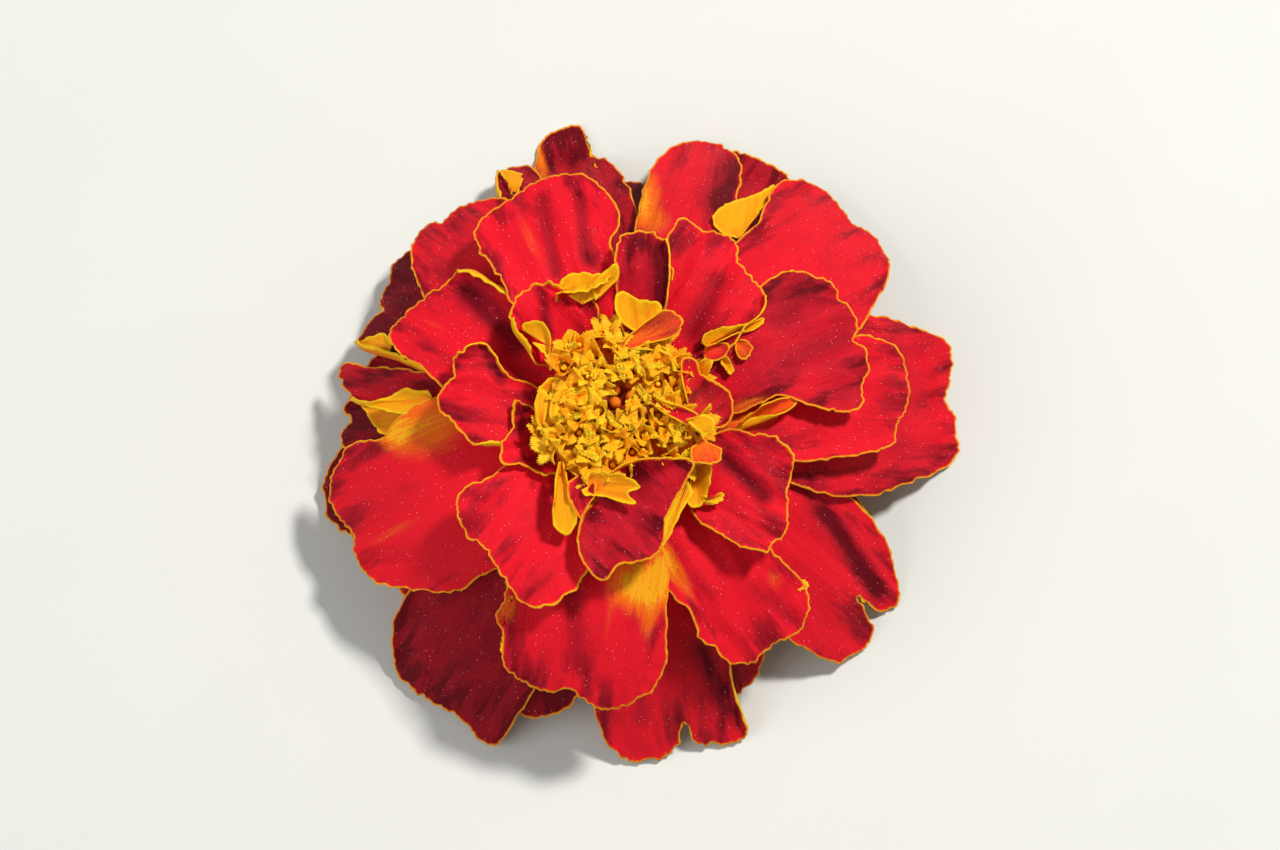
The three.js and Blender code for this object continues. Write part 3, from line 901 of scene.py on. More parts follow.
@dataclass(frozen=True)
class Petal:
    """A ray floret's blade, laid on one of the nested bowls."""

    layer: float
    start: float
    aim: float
    rim: tuple[Point, ...]
    cup: float = 0.2
    pleat: float = 0.3
    curls: tuple[Curl, ...] = ()
    hook: tuple[float, float] | None = None
    # tone: the petal's own darker tone together with painted shade where it lies in shadow
    tone: float = 0.2
    glows: tuple[Glow, ...] = ()
    folds: tuple[Fold, ...] = ()
    cells: tuple[int, int] = (80, 36)

    def add(self, body: Body, seed: float) -> None:
        """Adds the blade, with the seed that sets its own ruffles."""
        body.sheet(self.cells, self.bender(seed), petal_depth(body, *PETAL_DEPTHS),
                   {"under": 1.0})

    def bender(self, seed: float) -> Bend:
        """Prepares the petal's form.

        Args:
            seed: a number that sets its own ruffles and mottling.

        Returns:
            A function for Body.sheet.
        """
        outline = Outline(self.rim)
        claw = polar(CLAW_RADIUS, math.radians(self.start)).to_2d()
        aim = polar(1.0, math.radians(self.aim)).to_2d()
        ahead = claw.dot(aim)
        reach = ahead + math.sqrt(outline.length ** 2 - claw.length_squared + ahead ** 2)
        along = (aim * reach - claw) / outline.length
        across = Vector((-along.y, along.x))

        def bend(share: float, row: float) -> tuple:
            """Bends one point.

            Args:
                share: from 0 at the anticlockwise side to 1.
                row: from 0 at the claw to 1 at the top.

            Returns:
                The point and its attributes.
            """
            step = 1 - (1 - row) ** CROWDING
            side, end = outline.at_top(share)
            u = side / outline.width(side, end)
            s = outline.low * step + (end - outline.low) * step * step
            width = outline.width(side, s)
            x = u * width
            edge, out, far = outline.near(x, s)
            glow = sum(g.share(x, s) for g in self.glows)
            valley = [fold.share(x, s) for fold in self.folds]
            # painted shade: each fold adds its shade to the petal's tone along its valley
            tone = self.tone + sum(v * fold.shade for v, fold in zip(valley, self.folds))
            values = {"edge": edge, "tone": min(MOST_TONE_AND_SHADE, tone), "glow": min(1.0, glow),
                      "under": 0.0, "flat": Vector((x, s, seed))}
            close = math.exp(-edge / CRIMP_REACH) * smooth_step(*CRIMP_START, step)
            crimp = waves(far, seed, CRIMPS) * close
            x += out[0] * crimp
            s += out[1] * crimp
            u = clamp(u, -1.0)
            lift = self.cup * u * u * step
            phase = 2 * noise.noise((seed, s * 0.1, 3.0))
            lift -= 0.5 * self.pleat * math.cos(PLEATS * math.pi * u + phase)
            lift += self.pleat * sum(high * noise.noise((u * wide, s * long, seed + own))
                                     for high, wide, long, own in BUCKLES)
            lift *= step
            lift -= sum(v * fold.depth for v, fold in zip(valley, self.folds))
            wave = math.exp(-((edge / RUFFLE_REACH) ** 2)) * smooth_step(*RUFFLE_START, step)
            lift += wave * RUFFLE * waves(far, seed, RUFFLES)
            x, s, lift = self.curled(x, s, lift, width, outline.length, step)
            if row < TINY:
                s = -ROOT_DEPTH
            plan = claw + along * s + across * x
            z = laid_down(layer_height(self.layer, plan.length) + lift) + PETAL_LIFT
            return Vector((plan.x, plan.y, z)), values

        return bend

    def curled(self, x: float, s: float, lift: float, width: float, length: float,
               step: float) -> tuple[float, float, float]:
        """Rolls up the margin or the tip.

        Args:
            x: the place across the petal.
            s: the place along it.
            lift: the height above its bowl.
            width: the half width there.
            length: the petal's length.
            step: the share of the way from the claw to the top.

        Returns:
            The new place across, along and above.
        """
        for curl in self.curls:
            hand = curl.hand.value
            turn = smooth_step(*CURL_START, step)
            turn *= 1 - smooth_step(curl.until, curl.until + CURL_FADE, step)
            turn = math.radians(curl.degrees) * turn + 1e-3
            out, rise = rolled(hand * x, width * (1 - curl.share), width * curl.share / turn)
            x, lift = hand * out, lift + rise
        if self.hook:
            share, degrees = self.hook
            s, rise = rolled(s, length * (1 - share), length * share / math.radians(degrees))
            lift += rise
        return x, s, lift


ACW, CW = Hand.ANTICLOCKWISE, Hand.CLOCKWISE
# the cells of the widest petals
FINE = (104, 40)

OUTER = (
    Petal(0.1, 97, 100, ((4, 14), (3.4, 18.5), (2.1, 22.1), (0.2, 22.8), (-1.4, 22.6), (-1.9, 19.8),
          (-3.1, 18.6), (-3.9, 16.3), (-4.3, 13.5)), tone=0.6, glows=(Glow(2.6, 20, 0.5, 3, 0.6),)),
    Petal(0.5, 112, 112, ((2.6, 15), (2.2, 18), (0.9, 20.2), (-1.4, 19.6), (-2.2, 17), (-2.4, 14)),
          cup=0.3, pleat=0.2, curls=(Curl(ACW, 0.4, 150),), tone=0.6),
    Petal(0.2, 149, 147.5, ((5.2, 13), (5.4, 17.3), (2, 17.6), (1.2, 17), (1, 17.8), (-1.1, 18.3),
          (-3, 18.9), (-4.5, 18.3), (-5.2, 14)), curls=(Curl(ACW, 0.25, 140),), tone=0.9),
    Petal(0.6, 170, 167, ((2.2, 12), (2.5, 16), (1.2, 17.2), (-0.4, 18.5), (-1.3, 18.3), (-1.2, 16),
          (-1.1, 12)), cup=-0.3, pleat=0.1, curls=(Curl(ACW, 0.35, 150),), tone=0.4),
    Petal(0.2, 177, 176, ((3, 12), (2.6, 15.5), (1.8, 17.3), (0.7, 17.6), (-0.4, 16.8),
          (-1.4, 17.6), (-2.2, 16.7), (-3, 13)), tone=0.9),
    Petal(0, 192, 190, ((5, 13), (4.3, 16.5), (2.9, 18.1), (1.4, 19.3), (-0.8, 19.4), (-2.4, 18.9),
          (-3.8, 17.4), (-4.8, 14)), tone=0.85),
    Petal(0.6, 78, 76, ((2.9, 11), (3.2, 14.1), (3.1, 17.9), (2.2, 20.1), (0.2, 21.9), (-2.4, 21.7),
          (-3.7, 20.3), (-4.4, 16)), tone=0.2, glows=(Glow(2.9, 13.6, 1, 2.4, 0.75),
          Glow(1.4, 11.6, 1.2, 1.6, 0.35)), folds=(Fold(((-3.2, 20), (-3.2, 15.5)), 1.3, 0, 0.8),)),
    Petal(0.2, 65, 65, ((5.2, 14), (5, 20), (2.8, 21.8), (-1.5, 22), (-2.8, 21.6), (-4, 17)),
          curls=(Curl(ACW, 0.3, 60),), tone=0.5),
    Petal(0.3, 7, 10, ((7.6, 14.5), (7.3, 16.4), (6.5, 19.6), (5.6, 21.7), (4.5, 22.9), (2.3, 22.8),
          (-0.6, 21.6), (-1.7, 22.2), (-3.2, 22), (-4.8, 21.7), (-5.8, 20.7), (-6.8, 18.2),
          (-8.1, 14)), pleat=0.35, tone=0.25, cells=FINE),
    Petal(0, 329, 328, ((4.9, 10), (5.6, 12.6), (4.9, 16.2), (4.1, 17.8), (3.2, 18.9), (1.3, 20.3),
          (0, 19.6), (-0.5, 17.3), (-1.6, 19.7), (-2.8, 20.1), (-4.1, 19.7), (-5.9, 18.5),
          (-6.7, 15)), cup=0.3, tone=0.15, folds=(Fold(((3.1, 11.5), (1.1, 18.3)), 0.8, 0.4, 1),),
          cells=FINE),
    Petal(0.3, 233, 232, ((7, 14), (7.1, 18.6), (6.8, 20.1), (5.3, 20.4), (3.7, 20.1), (1.1, 20.4),
          (-1.3, 20.6), (-3.1, 20.4), (-5.3, 18.2), (-5.9, 16.4), (-5.8, 14)), pleat=0.35,
          tone=0.8),
    Petal(0, 253, 252, ((3.6, 13), (2.8, 16), (0.9, 17.6), (-1, 17.9), (-3, 17.5), (-3.8, 14)),
          tone=0.8),
    Petal(0, 279, 279, ((6, 13.5), (6, 15.5), (6.6, 18), (6.8, 18.9), (5.4, 19.7), (3.6, 19.5),
          (2.1, 19.4), (1.3, 17.6), (0.8, 19.2), (-0.8, 19.9), (-3.2, 19.9), (-4.7, 18.9),
          (-5.9, 15.4), (-6, 13)), pleat=0.35, curls=(Curl(ACW, 0.12, 120),), tone=0.12,
          folds=(Fold(((-1.9, 13), (-1.9, 17)), 0.8, 0.3, 0.4), Fold(((3.6, 12.6), (5.1, 17.4)), 1,
          0.2, 0.75)), cells=FINE),
)

MIDDLE = (
    Petal(1, 132, 131, ((5.6, 10.5), (4.9, 13.4), (3.5, 16.7), (2.1, 18.2), (-0.3, 18.4),
          (-0.6, 17.7), (-2.2, 17.9), (-5.3, 16), (-6.2, 12)), tone=0.2),
    Petal(1.6, 153, 150, ((4.7, 8), (4.1, 10.7), (4, 12.5), (2.9, 14.2), (-0.7, 13.5), (-2.4, 12.5),
          (-4.4, 12.1), (-5.4, 11), (-5.2, 8.6)), cup=0.3, curls=(Curl(CW, 0.3, 150),), tone=0.12,
          glows=(Glow(0.6, 11.4, 0.5, 2, 0.14),), folds=(Fold(((-2.9, 10.5), (-1.2, 4.7)), 1, 0.3,
          0.9),)),
    Petal(1, 204, 200, ((7.4, 9), (7.8, 10.8), (7.4, 12.4), (6.5, 14), (4.9, 16.4), (3.4, 17.7),
          (1.4, 18), (0.1, 17.6), (-2.5, 18.4), (-4.6, 18.1), (-6.7, 15.6), (-6, 13), (-6.7, 11.5),
          (-7.4, 9.6)), pleat=0.45, tone=0.05, cells=FINE, glows=(Glow(-5.9, 11.6, 1.1, 1.2, 0.9),
          Glow(-5.6, 8.8, 2.5, 2.9, 0.6), Glow(1.4, 14.4, 0.6, 2.8, 0.2))),
    Petal(1, 43, 44, ((4.6, 12), (4.9, 14.5), (6.5, 17.8), (6.6, 19.8), (4.2, 21.9), (2, 21.6),
          (-0.3, 21.5), (-1.1, 21.9), (-3.4, 21.6), (-5, 20.3), (-6, 18), (-7.2, 14.3)), pleat=0.35,
          tone=0.17, cells=FINE),
    Petal(2, 22, 22.5, ((5.4, 8), (6.1, 11.2), (4.7, 13.5), (3.6, 14.4), (2.7, 14.2), (1.3, 14.9),
          (-0.3, 14.6), (-0.9, 14), (-2.1, 14.6), (-3.3, 14.3), (-4.7, 13.2), (-6.3, 12.2),
          (-6.1, 10.6), (-4.7, 8.2), (-3.4, 6.7), (-3.3, 3.8)), pleat=0.35, tone=0.34, cells=FINE,
          folds=(Fold(((4.4, 12.6), (2.4, 9)), 1, 0.25, 0.4), Fold(((-0.6, 13.4), (-0.9, 8.5)), 0.9,
          0.25, 0.3)), glows=(Glow(-3, 3.6, 0.7, 1.8, 0.35),)),
    Petal(1.3, 6, 7.5, ((4.6, 12.5), (5.1, 14.9), (4.9, 16.2), (4, 17.5), (2.5, 18), (0.9, 18),
          (-1, 17.5), (-2.4, 16.4), (-3.9, 15.8), (-4.8, 13), (-5, 10)), pleat=0.35, tone=0.15,
          glows=(Glow(-1.3, 4.1, 0.9, 2.2, 0.45),)),
    Petal(1.2, 306, 304, ((3.9, 9.4), (4.5, 11.3), (4.9, 13), (4.3, 14.6), (2.6, 15.7),
          (-0.1, 15.5), (-1.7, 15.8), (-3.6, 14.8), (-3.8, 13.4), (-4.5, 12.2), (-4.1, 10),
          (-4.7, 8)), pleat=0.35, tone=0.05, glows=(Glow(3, 11.4, 0.8, 0.9, 0.24),
          Glow(-3.4, 5.2, 0.6, 3, 0.95)), folds=(Fold(((2.6, 14.6), (1.4, 11.5)), 0.8, 0.25,
          0.35),)),
    Petal(1.6, 260, 261, ((5.8, 8.5), (6.2, 10.5), (6.4, 13.3), (5.7, 15), (4.8, 15.7), (3.1, 16.7),
          (1.3, 16.8), (-1, 15.8), (-1.6, 16.2), (-3.7, 16), (-6.2, 14.8), (-6.6, 12.4),
          (-7.3, 11.6), (-6.9, 10)), pleat=0.35, tone=0.1, cells=FINE,
          glows=(Glow(3.5, 7.2, 1.9, 1.9, 1.1), Glow(5.3, 5.8, 0.9, 2.2, 0.9),
          Glow(4.6, 9.8, 0.6, 1.8, 0.3), Glow(1.5, 10.7, 0.4, 2.6, 0.14),
          Glow(-6.6, 10.6, 0.9, 1.2, 0.4)), folds=(Fold(((-1.7, 8.5), (-0.2, 14.1)), 0.9, 0.35,
          0.5),)),
)

INNER = (
    Petal(2.2, 108, 111, ((5.2, 8), (5.8, 12.4), (4.6, 13.8), (2.5, 14.4), (-0.2, 15.2), (-3, 14.9),
          (-4.5, 13.8), (-5.5, 11.2), (-5.4, 9), (-4.3, 8), (-3.8, 7.1), (-4.2, 6)), cup=0.3,
          pleat=0.35, tone=0.06, glows=(Glow(1.8, 10.6, 0.6, 3.2, 0.2),), cells=FINE,
          folds=(Fold(((-0.4, 13.6), (0.9, 7)), 0.6, 0.25, 0.6), Fold(((-3.2, 12.6), (-1.7, 7)),
          0.6, 0.25, 0.6))),
    Petal(2.2, 172, 173, ((4.1, 3.8), (4.3, 5), (3.8, 5.9), (2.2, 7.6), (1.3, 8.7), (-0.1, 8.9),
          (-1.6, 7.9), (-2.8, 8.1), (-4.3, 5.9), (-3.5, 4.9), (-2.3, 4), (-1.8, 2.8)), cup=0.4,
          curls=(Curl(CW, 0.08, 100), Curl(ACW, 0.2, 150, 0.7)), tone=0.15,
          folds=(Fold(((-3.6, 5.6), (-1.6, 4.2)), 0.5, 0.2, 0.7),)),
    Petal(2.9, 194, 199, ((3.1, 1.2), (2.9, 2.1), (1.8, 3.1), (0.9, 4.5), (-0.3, 4.3), (-1.9, 2.6),
          (-3.4, 1.6)), cup=0.4, pleat=0.2, tone=0.2),
    Petal(3.1, 122, 127, ((3.8, 3.2), (3.6, 5), (1.1, 6.6), (-0.5, 6.5), (-1.6, 5.5), (-3.3, 2.8)),
          cup=0.6, curls=(Curl(ACW, 0.3, 150),), tone=0, folds=(Fold(((-0.8, 6), (1.1, 3)), 0.42,
          0.25, 0.8),)),
    Petal(2.8, 104, 106, ((2.6, 3), (2.3, 5.6), (0.6, 6.6), (-1.6, 6.2), (-2.6, 3.6)), pleat=0.2,
          hook=(0.5, 150), tone=0.15),
    Petal(3, 80, 82, ((1.9, 4.5), (2.3, 7), (2.1, 8.2), (1.3, 8.6), (0.2, 8.8), (-1.8, 8),
          (-2.4, 5.6)), cup=0.3, pleat=0.2, curls=(Curl(CW, 0.25, 120),), tone=0.4,
          folds=(Fold(((-0.9, 7.5), (-1.5, 3.5)), 0.7, 0.2, 0.6),)),
    Petal(2.2, 56, 58, ((3.9, 6.5), (4.7, 9.2), (4.6, 10.3), (3.7, 10.7), (2.6, 10.6), (1.3, 11.2),
          (-0.4, 11.1), (-1.1, 9.9), (-2.6, 9.3), (-4.9, 8.1), (-5.2, 6.8), (-4.6, 5.4)), cup=0.3,
          pleat=0.35, curls=(Curl(CW, 0.15, 90),), tone=0.12, cells=FINE, folds=(Fold(((-0.7, 7.6),
          (-0.9, 3)), 1, 0.25, 0.5),)),
    Petal(2.2, 328, 329, ((3.9, 3.8), (4.6, 5.3), (4.5, 6.5), (4.1, 7.5), (3, 8.3), (1.9, 8.5),
          (0.5, 9.3), (-1.3, 10.2), (-2.7, 9.7), (-3.4, 9.8), (-4.2, 8), (-4.2, 5.4)), cup=0.5,
          pleat=0.35, tone=0.16, folds=(Fold(((1.4, 3), (0.2, 7.2)), 0.7, 0.35, 0.9),)),
    Petal(2.3, 232, 231, ((5.7, 5.4), (5.9, 7.6), (5.1, 9.6), (4, 10.7), (2.8, 10.8), (1.3, 10.3),
          (-0.1, 9.9), (-1.6, 9.3), (-3.1, 9.5), (-4.4, 9), (-5.6, 8), (-5.9, 6.8), (-4.9, 5)),
          cup=0.3, pleat=0.35, tone=0.1, cells=FINE),
)


@dataclass
class UnderWhorl:
    """The lowest ray florets, which fill the bloom's underside."""

    layer: float = -0.3
    count: int = 9
    # tone of the lowest petals: their own tone with painted shade under the upper whorls
    tone: float = 0.6
    cells: tuple[int, int] = (56, 22)
    rim: tuple[Point, ...] = ((3.6, 9), (4.4, 12.4), (3.4, 15.2), (1.2, 16.4), (-1.2, 16.2),
                              (-3.3, 14.9), (-4.4, 12), (-3.5, 9))

    def petals(self) -> tuple[Petal, ...]:
        """Draws the petals' places.

        Returns:
            The petals.
        """
        draw = Draw(7)
        made = []
        for i in range(self.count):
            bearing = i * 360 / self.count + 12 + 8 * (draw() - 0.5)
            length = 0.9 + 0.16 * draw()
            rim = tuple((across, along * length) for across, along in self.rim)
            made.append(Petal(self.layer, bearing, bearing, rim, tone=self.tone,
                              cells=self.cells))
        return tuple(made)


@dataclass
class Claws:
    """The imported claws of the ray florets, between the cup and the disc.

    The shares are those of the section that its flat foot and its flat top take up.
    """

    foot: float = 10.6
    top: float = 16.3
    foot_share: float = 0.1
    top_share: float = 0.15
    radius: float = 5.45
    uneven: float = 0.12
    flutes: int = 26
    flute_depth: float = 0.22
    flute_sides: int = 6
    rows: int = 20

    def build(self, finish: bpy.types.Material) -> bpy.types.Object:
        """Builds and dresses the bundle.

        Args:
            finish: the petals' material.

        Returns:
            The piece.
        """
        body = petal_body()

        def bend(share: float, row: float) -> tuple:
            """Bends one point.

            Args:
                share: its share of the turn.
                row: its share of the way from the foot's middle to the top's.

            Returns:
                The point and its attributes.
            """
            turn = share * TURN
            flute = 0.5 + 0.5 * math.cos(turn * self.flutes)
            wander = self.uneven * noise.noise(polar(3, turn, row * 2))
            radius = self.radius - self.flute_depth * (1 - flute) + wander
            radius *= min(1.0, row / self.foot_share)
            radius *= min(1.0, (1 - row) / self.top_share)
            rise = clamp((row - self.foot_share) / (1 - self.foot_share - self.top_share))
            z = self.foot + (self.top - self.foot) * rise
            values = {"edge": 0.15 + 0.5 * flute, "glow": 0.75,
                      "flat": Vector((turn * self.radius, z, 91.0))}
            return polar(radius, turn, z), values

        body.grid((self.flutes * self.flute_sides, self.rows), bend)
        return dress(body.finish("petal_claws"), finish, "red_petal", "ray_florets")


# The disc.


@dataclass(frozen=True)
class Lobe:
    """One of a tube floret's five pointed lobes, with hairy margins."""

    turn: float
    lean: float
    curve: float
    length: float
    wide: float
    sway: float = 0.0
    twist: float = 0.0
    foot: Point = (0.42, 0.86)
    thick: float = 0.06
    keel: float = 0.22
    belly: float = 0.25
    hair: float = 0.062
    hairs: int = 8

    def place(self, u: float, t: float) -> Vector:
        """Gives a point of the lobe.

        Args:
            u: from -1 at one margin to 1 at the other.
            t: from 0 at the root to 1 at the tip.

        Returns:
            The point about the floret's axis.
        """
        angle = self.lean + self.curve * t
        rate = self.curve / self.length
        out = self.foot[0] + (math.cos(self.lean) - math.cos(angle)) / rate
        rise = self.foot[1] + (math.sin(angle) - math.sin(self.lean)) / rate
        half = self.wide / 2 * (1 - t ** 1.7) ** 0.85
        half *= 1 + self.belly * math.sin(math.pi * t)
        keel = self.keel * half * u * u
        out -= keel * math.cos(angle)
        rise += keel * math.sin(angle)
        ahead = polar(1.0, self.turn)
        aside = Vector((-ahead.y, ahead.x, 0.0))
        rise += self.twist * u * half * t
        return ahead * out + aside * (u * half + self.sway * t * t) + Vector((0.0, 0.0, rise))

    def add(self, body: Body, draw: Draw) -> list:
        """Adds the lobe and its hairs.

        Args:
            body: the mesh.
            draw: the seeded draw.

        Returns:
            The new vertices.
        """
        verts = body.sheet((4, 5), lambda x, y: (self.place(2 * x - 1, y * 0.97),
                                                 {"warmth": 0.62 - 0.60 * y}),
                           lambda vert: self.thick, {"warmth": 0.40})
        for hand in (-1, 1):
            for k in range(self.hairs):
                t = 0.22 + 0.095 * k + draw(-0.04, 0.04)
                foot = self.place(hand * 0.96, t)
                lean = (self.place(hand, t) - self.place(0.0, t)).normalized()
                lean += (self.place(hand, min(1.0, t + 0.1)) - foot).normalized() * 0.5
                lean += Vector((draw(-0.3, 0.3), draw(-0.3, 0.3), draw(0.2, 0.8)))
                verts += body.hair(foot, lean, draw(0.12, 0.22), self.hair, 0.12)
        return verts


# bodies of revolution, in rings of radius, height and warmth, whose highest values are painted
# shade in throats and depths
TUBE = ((0.0, -0.7, 0.95), (0.2, -0.7, 0.95), (0.26, -0.1, 0.8), (0.40, 0.5, 0.55),
        (0.47, 0.9, 0.40), (0.41, 0.91, 0.45), (0.34, 0.7, 0.60), (0.24, 0.4, 0.85),
        (0.0, 0.4, 0.90))
ANTHERS = ((0.0, 0.3, 0.7), (0.24, 0.3, 0.7), (0.25, 0.95, 0.45), (0.13, 1.22, 0.15),
           (0.0, 1.22, 0.15))
STYLE = ((0.0, -0.5, 0.6), (0.15, -0.5, 0.6), (0.17, 0.45, 0.5), (0.10, 0.62, 0.4),
         (0.0, 0.62, 0.4))
BRANCH = ((0.0, 0.0, 0.15), (0.10, 0.0, 0.12), (0.15, 0.2, 0.05), (0.18, 0.4, 0.0),
          (0.15, 0.54, 0.0), (0.0, 0.60, 0.0))
BUD = ((0.0, -0.8, 0.9), (0.40, -0.7, 0.85), (0.56, -0.1, 0.72), (0.52, 0.25, 0.66),
       (0.34, 0.48, 0.6), (0.0, 0.56, 0.64))
LOBES = 5
# how far the templates' lobes and branches part
FLORET_SPREADS = (0.0, 0.15, 0.3, 0.5, 0.65, 0.8)
STYLE_SPREADS = (1.0, 1.5, 2.0)


@dataclass
class Disc:
    """The golden disc: tube florets with their styles, round a pit of unopened buds."""

    radius: float = 6.5
    edge_height: float = 17.7
    top_height: float = 19.1
    foot: float = 16.45
    count: int = 86
    planted: float = 0.97
    pit: Point = (0.3, 1.2)
    pit_radius: float = 1.45
    style_share: float = 0.40
    style_hair: float = 0.075
    style_hairs: int = 44
    covered: tuple[tuple[Point, Point], ...] = (((0.2, 7.0), (-7.0, -3.9)),
                                                ((-3.0, 0.2), (-7.0, -5.3)),
                                                ((5.0, 7.0), (-0.6, 2.2)),
                                                ((-7.0, -4.8), (-1.6, 2.6)))

    def __post_init__(self) -> None:
        """Starts the mesh."""
        self.body = Body(("warmth",))
        self.draw = Draw(23)

    def height(self, radius: float) -> float:
        """Gives the height of the disc's core at a distance from the axis."""
        share = min(1.0, radius / self.radius)
        return self.edge_height + (self.top_height - self.edge_height) * (1 - share ** 2)

    def floret(self, spread: float) -> list:
        """Adds a tube floret: a tube that opens into five pointed lobes.

        Args:
            spread: how far its lobes part, from 0 to 1.

        Returns:
            The new vertices.
        """
        draw = self.draw
        verts = self.body.turned(TUBE, 10) + self.body.turned(ANTHERS, 6)
        for i in range(LOBES):
            lobe = Lobe((i + draw(-0.14, 0.14)) / LOBES * TURN, draw(0.0, 0.45) + 0.35 * spread,
                        draw(0.2, 1.0) + 0.7 * spread, draw(1.15, 1.85), draw(0.70, 0.96),
                        draw(-0.5, 0.5), draw(-1.1, 1.1))
            verts += lobe.add(self.body, draw)
        return verts

    def style(self, spread: float) -> list:
        """Adds a forked style with brush-like branches.

        Args:
            spread: how far the branches part.

        Returns:
            The new vertices.
        """
        body, draw = self.body, self.draw

        def arc(rise: float) -> Point:
            """Gives how far out and up a branch is at a length along it."""
            return spread * rise * rise, 0.5 + rise * (1 - 0.3 * spread * rise)

        verts = body.turned(STYLE, 6)
        for hand in (-1, 1):
            branch = body.turned(BRANCH, 6)
            for vert in branch:
                out, up = arc(vert.co.z)
                vert.co.x += hand * out
                vert.co.z = up
            verts += branch
            for _ in range(self.style_hairs):
                out, up = arc(draw(0.15, 0.62))
                lean = polar(1.0, draw() * TURN, draw(-0.1, 0.6))
                foot = Vector((hand * out, 0.0, up)) + lean * 0.10
                verts += body.hair(foot, lean, draw(0.13, 0.24), self.style_hair, 0.0)
        return verts

    def bud(self) -> list:
        """Adds an unopened bud, a blunt five-ribbed knob.

        Returns:
            The new vertices.
        """
        verts = self.body.turned(BUD, 15)
        for vert in verts:
            turn = math.atan2(vert.co.y, vert.co.x)
            pinch = 1 - 0.10 * (1 - abs(math.cos(LOBES / 2 * turn)))
            vert.co.x *= pinch
            vert.co.y *= pinch
        return verts

    def plant(self, template: list, place: Vector, turn: float, lean: float, spin: float,
              size: float, warmer: float) -> None:
        """Copies a template into place.

        Args:
            template: the template's vertices.
            place: its foot.
            turn: the bearing towards which it leans, in radians.
            lean: how far it leans, in radians.
            spin: its turn about itself.
            size: its scale.
            warmer: what is added to its warmth.
        """
        matrix = (Matrix.Translation(place) @ Matrix.Rotation(turn, 4, "Z")
                  @ Matrix.Rotation(lean, 4, "Y") @ Matrix.Rotation(spin, 4, "Z")
                  @ Matrix.Scale(size, 4))
        edges = list({edge for vert in template for edge in vert.link_edges})
        geometry = [*template, *edges, *faces_of(template)]
        fresh = verts_of(bmesh.ops.duplicate(self.body.bm, geom=geometry))
        bmesh.ops.transform(self.body.bm, matrix=matrix, verts=fresh)
        layer = self.body.layers["warmth"]
        for vert in fresh:
            vert[layer] = clamp(vert[layer] + warmer)

    def build(self, finish: bpy.types.Material) -> bpy.types.Object:
        """Builds and dresses the disc.

        Args:
            finish: the florets' material.

        Returns:
            The piece.
        """
        draw = self.draw
        florets = [self.floret(spread) for spread in FLORET_SPREADS]
        styles = [self.style(spread) for spread in STYLE_SPREADS]
        bud = self.bud()
        for i in range(self.count):
            radius = self.radius * self.planted * math.sqrt((i + 0.5) / self.count)
            turn = i * GOLDEN_ANGLE + draw(-0.16, 0.16)
            place = polar(radius, turn, self.height(radius) + draw(-0.3, 0.35))
            lean = 0.5 * (radius / self.radius) ** 1.5 + draw(-0.6, 0.35)
            if any(x[0] < place.x < x[1] and y[0] < place.y < y[1] for x, y in self.covered):
                continue
            if math.hypot(place.x - self.pit[0], place.y - self.pit[1]) < self.pit_radius:
                place.z = self.height(radius) + draw(-0.8, -0.4)
                self.plant(bud, place, turn, lean, draw() * TURN, draw(0.8, 1.0), 0.1)
                continue
            self.plant(florets[int(draw() * len(florets))], place, turn, lean, draw() * TURN,
                       draw(0.85, 1.12), draw(-0.24, 0.12))
            if draw() < self.style_share:
                place.z += draw(0.45, 0.80)
                self.plant(styles[int(draw() * len(styles))], place, turn, lean + draw(-0.5, 0.5),
                           draw() * TURN, draw(1.05, 1.4), draw(-0.05, 0.05))
        bmesh.ops.delete(self.body.bm, geom=[v for t in (*florets, *styles, bud) for v in t],
                         context="VERTS")
        # the core beneath the florets: its warmth rises to painted brown shade at the pit and the
        # foot
        crown = [(radius, self.height(radius) - sunk, warmth) for radius, sunk, warmth in
                 ((5.4, 0.3, 0.68), (4.0, 0.3, 0.70), (2.6, 0.3, 0.78), (1.6, 0.8, 0.95),
                  (0.0, 1.1, 1.0))]
        self.body.turned(((0.0, self.foot, 1.0), (4.4, self.foot, 1.0), (5.9, 17.2, 0.80),
                          (6.1, 17.5, 0.68), *crown), 40)
        return dress(self.body.finish("disc_tube_florets"), finish, "yellow_floret",
                     "disc_florets")


